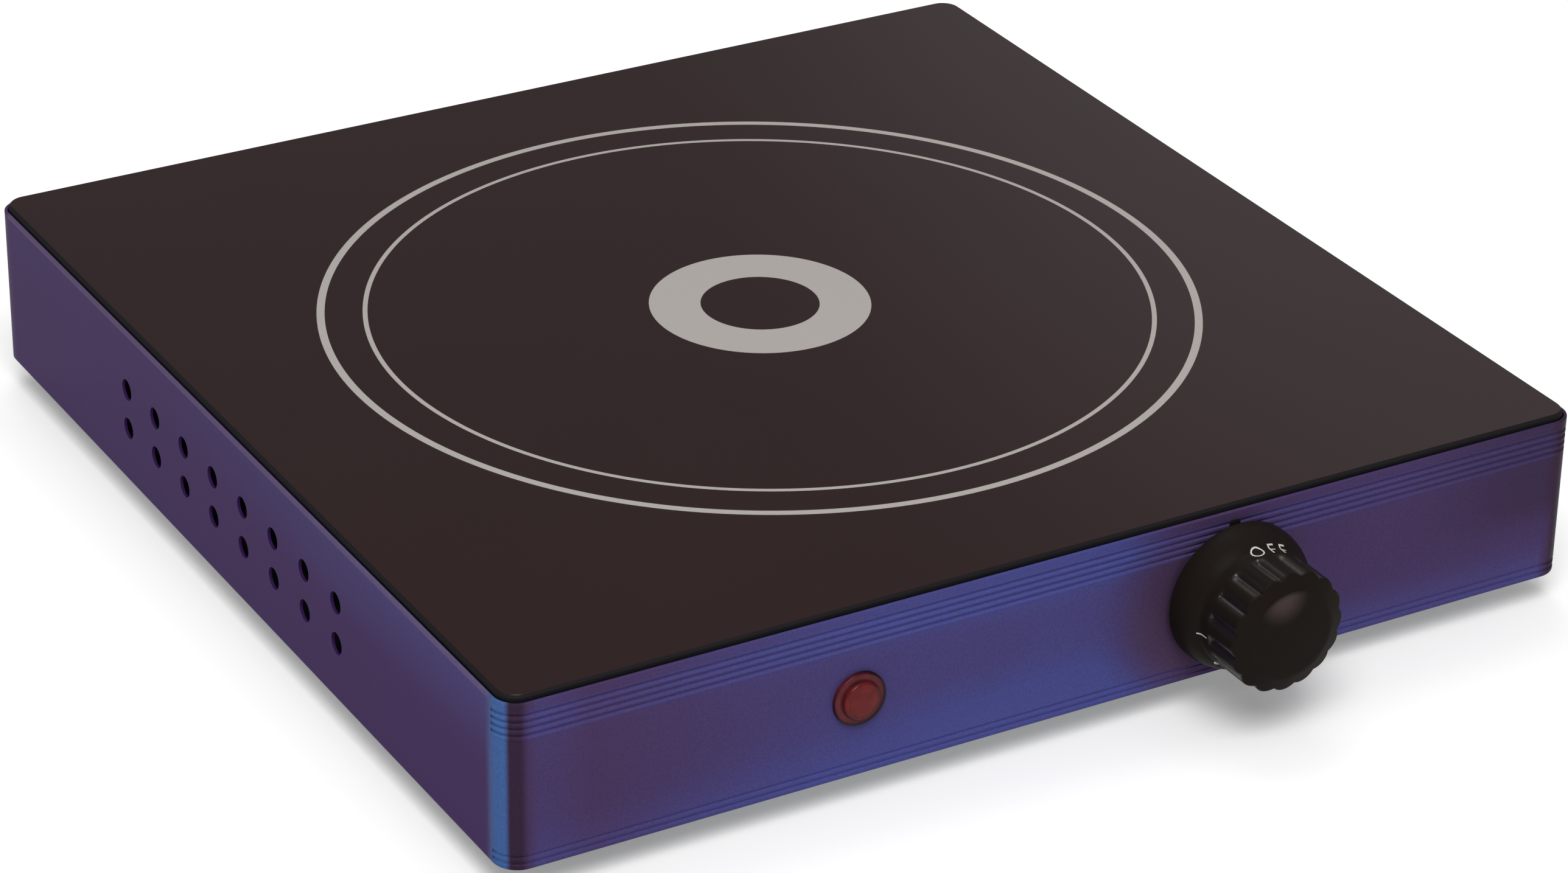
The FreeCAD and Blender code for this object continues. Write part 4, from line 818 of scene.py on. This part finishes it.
# Silicone-sheathed wires, matt and slightly dusty
sheath = {"Roughness": 0.6, "Specular IOR Level": 0.3}
white_wire = mottled("white_sheath", "#C9C7C0", "#DAD8D2", 1.0, 0.02, sheath)
black_wire = mottled("black_sheath", "#151515", "#212121", 1.0, 0.02, sheath)
brown_wire = mottled("brown_sheath", "#4A2C1C", "#5C3826", 1.0, 0.02, sheath)
blue_wire = mottled("blue_sheath", "#1E3F7A", "#2A4F8E", 1.0, 0.02, sheath)
earth_wire = mottled("green_sheath", "#5E8A1E", "#86A52A", 3.0, 0.02, sheath)
# Fired enamel print on the glass, warm pale grey, slightly rough
glass_print = mottled(
    "fired_enamel_print", "#A29D98", "#ACA7A2", 0.8, 0.01, {"Roughness": 0.45, "Specular IOR Level": 0.3})
# Pad-printed white ink on the knob
white_ink = mottled(
    "white_ink", "#BDB9B4", "#CDCAC5", 0.4, 0.01, {"Roughness": 0.5, "Specular IOR Level": 0.25})

finishes = {
    lacquer: ["housing"],
    glass: ["glass_top"],
    red_plastic: ["lamp_lens"],
    knob_black: ["knob"],
    gland_black: ["cord_gland", "gland_nut"],
    foot_rubber: ["foot_front_left", "foot_front_right", "foot_rear_left", "foot_rear_right"],
    seal_rubber: ["glass_seal"],
    zinc_sheet: ["base_plate", "glass_frame", "heater_bridge"],
    zinc_screw: [
        "base_screws", "foot_screws", "bridge_screws", "regulator_screws", "regulator_shaft", "block_screws",
        "earth_stud"],
    pan_sheet: ["heater_pan"],
    board: ["insulation_disc", "insulation_ring"],
    strip_metal: ["heater_ribbon", "heater_leads"],
    steatite: ["limiter_head", "terminal_block"],
    phenolic: ["regulator_case", "regulator_cover"],
    white_nylon: ["regulator_cam", "cam_follower", "lamp_body"],
    brass: ["limiter_tabs", "regulator_tabs", "lamp_tabs", "terminal_screws", "earth_nut"],
    spring_steel: ["pan_spring_left", "pan_spring_right", "knob_clip", "lamp_push_nut"],
    quartz: ["limiter_rod"],
    bulb_glass: ["lamp_bulb"],
    white_wire: ["wire_lamp_1", "wire_lamp_2"],
    black_wire: ["wire_heater_1", "wire_heater_2"],
    brown_wire: ["wire_live"],
    blue_wire: ["wire_neutral"],
    earth_wire: ["wire_earth"],
}
for finish, names in finishes.items():
    for name in names:
        coat(frame["nodes"][name], finish)

# Knob with its print, which all turn together
skin = knob_skin(knob_black)
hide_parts("knob")
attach(skin, "control")
marks = [lettering("knob_off", "OFF", 3.4, 8, 13.3, 1.45, white_ink)]
for number in range(1, 7):
    turn_deg = -60 - 40 * number
    marks.append(lettering(f"knob_number_{number}", str(number), 3.2, turn_deg, 13.2, 1.0, white_ink))
for mark in marks:
    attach(mark, "control")

# Print on the glass, mark on the panel and cap of the lamp, which stay with the base
rings = [
    printed_ring("print_hub", 15.4, 28.8, glass_print),
    printed_ring("print_inner_ring", 101.2, 102.5, glass_print),
    printed_ring("print_outer_ring", 112.2, 114.3, glass_print),
]
for ring in rings:
    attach(ring, "base")
pointer = index_mark(knob_black)
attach(pointer, "base")
facets = lens_facets(red_plastic)
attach(facets, "base")

# Floor, light and camera
floor = flat_floor(paper_floor())
bpy.context.scene.world = studio_room()
soft_lamp("key_lamp", (-0.6, -1.1, 1.8), 1.2, 30.0)
soft_lamp("fill_lamp", (0.2, 0.9, 1.9), 1.2, 8.0)
bpy.context.scene.camera = photo_camera()
bpy.context.scene.view_settings.view_transform = "Standard"
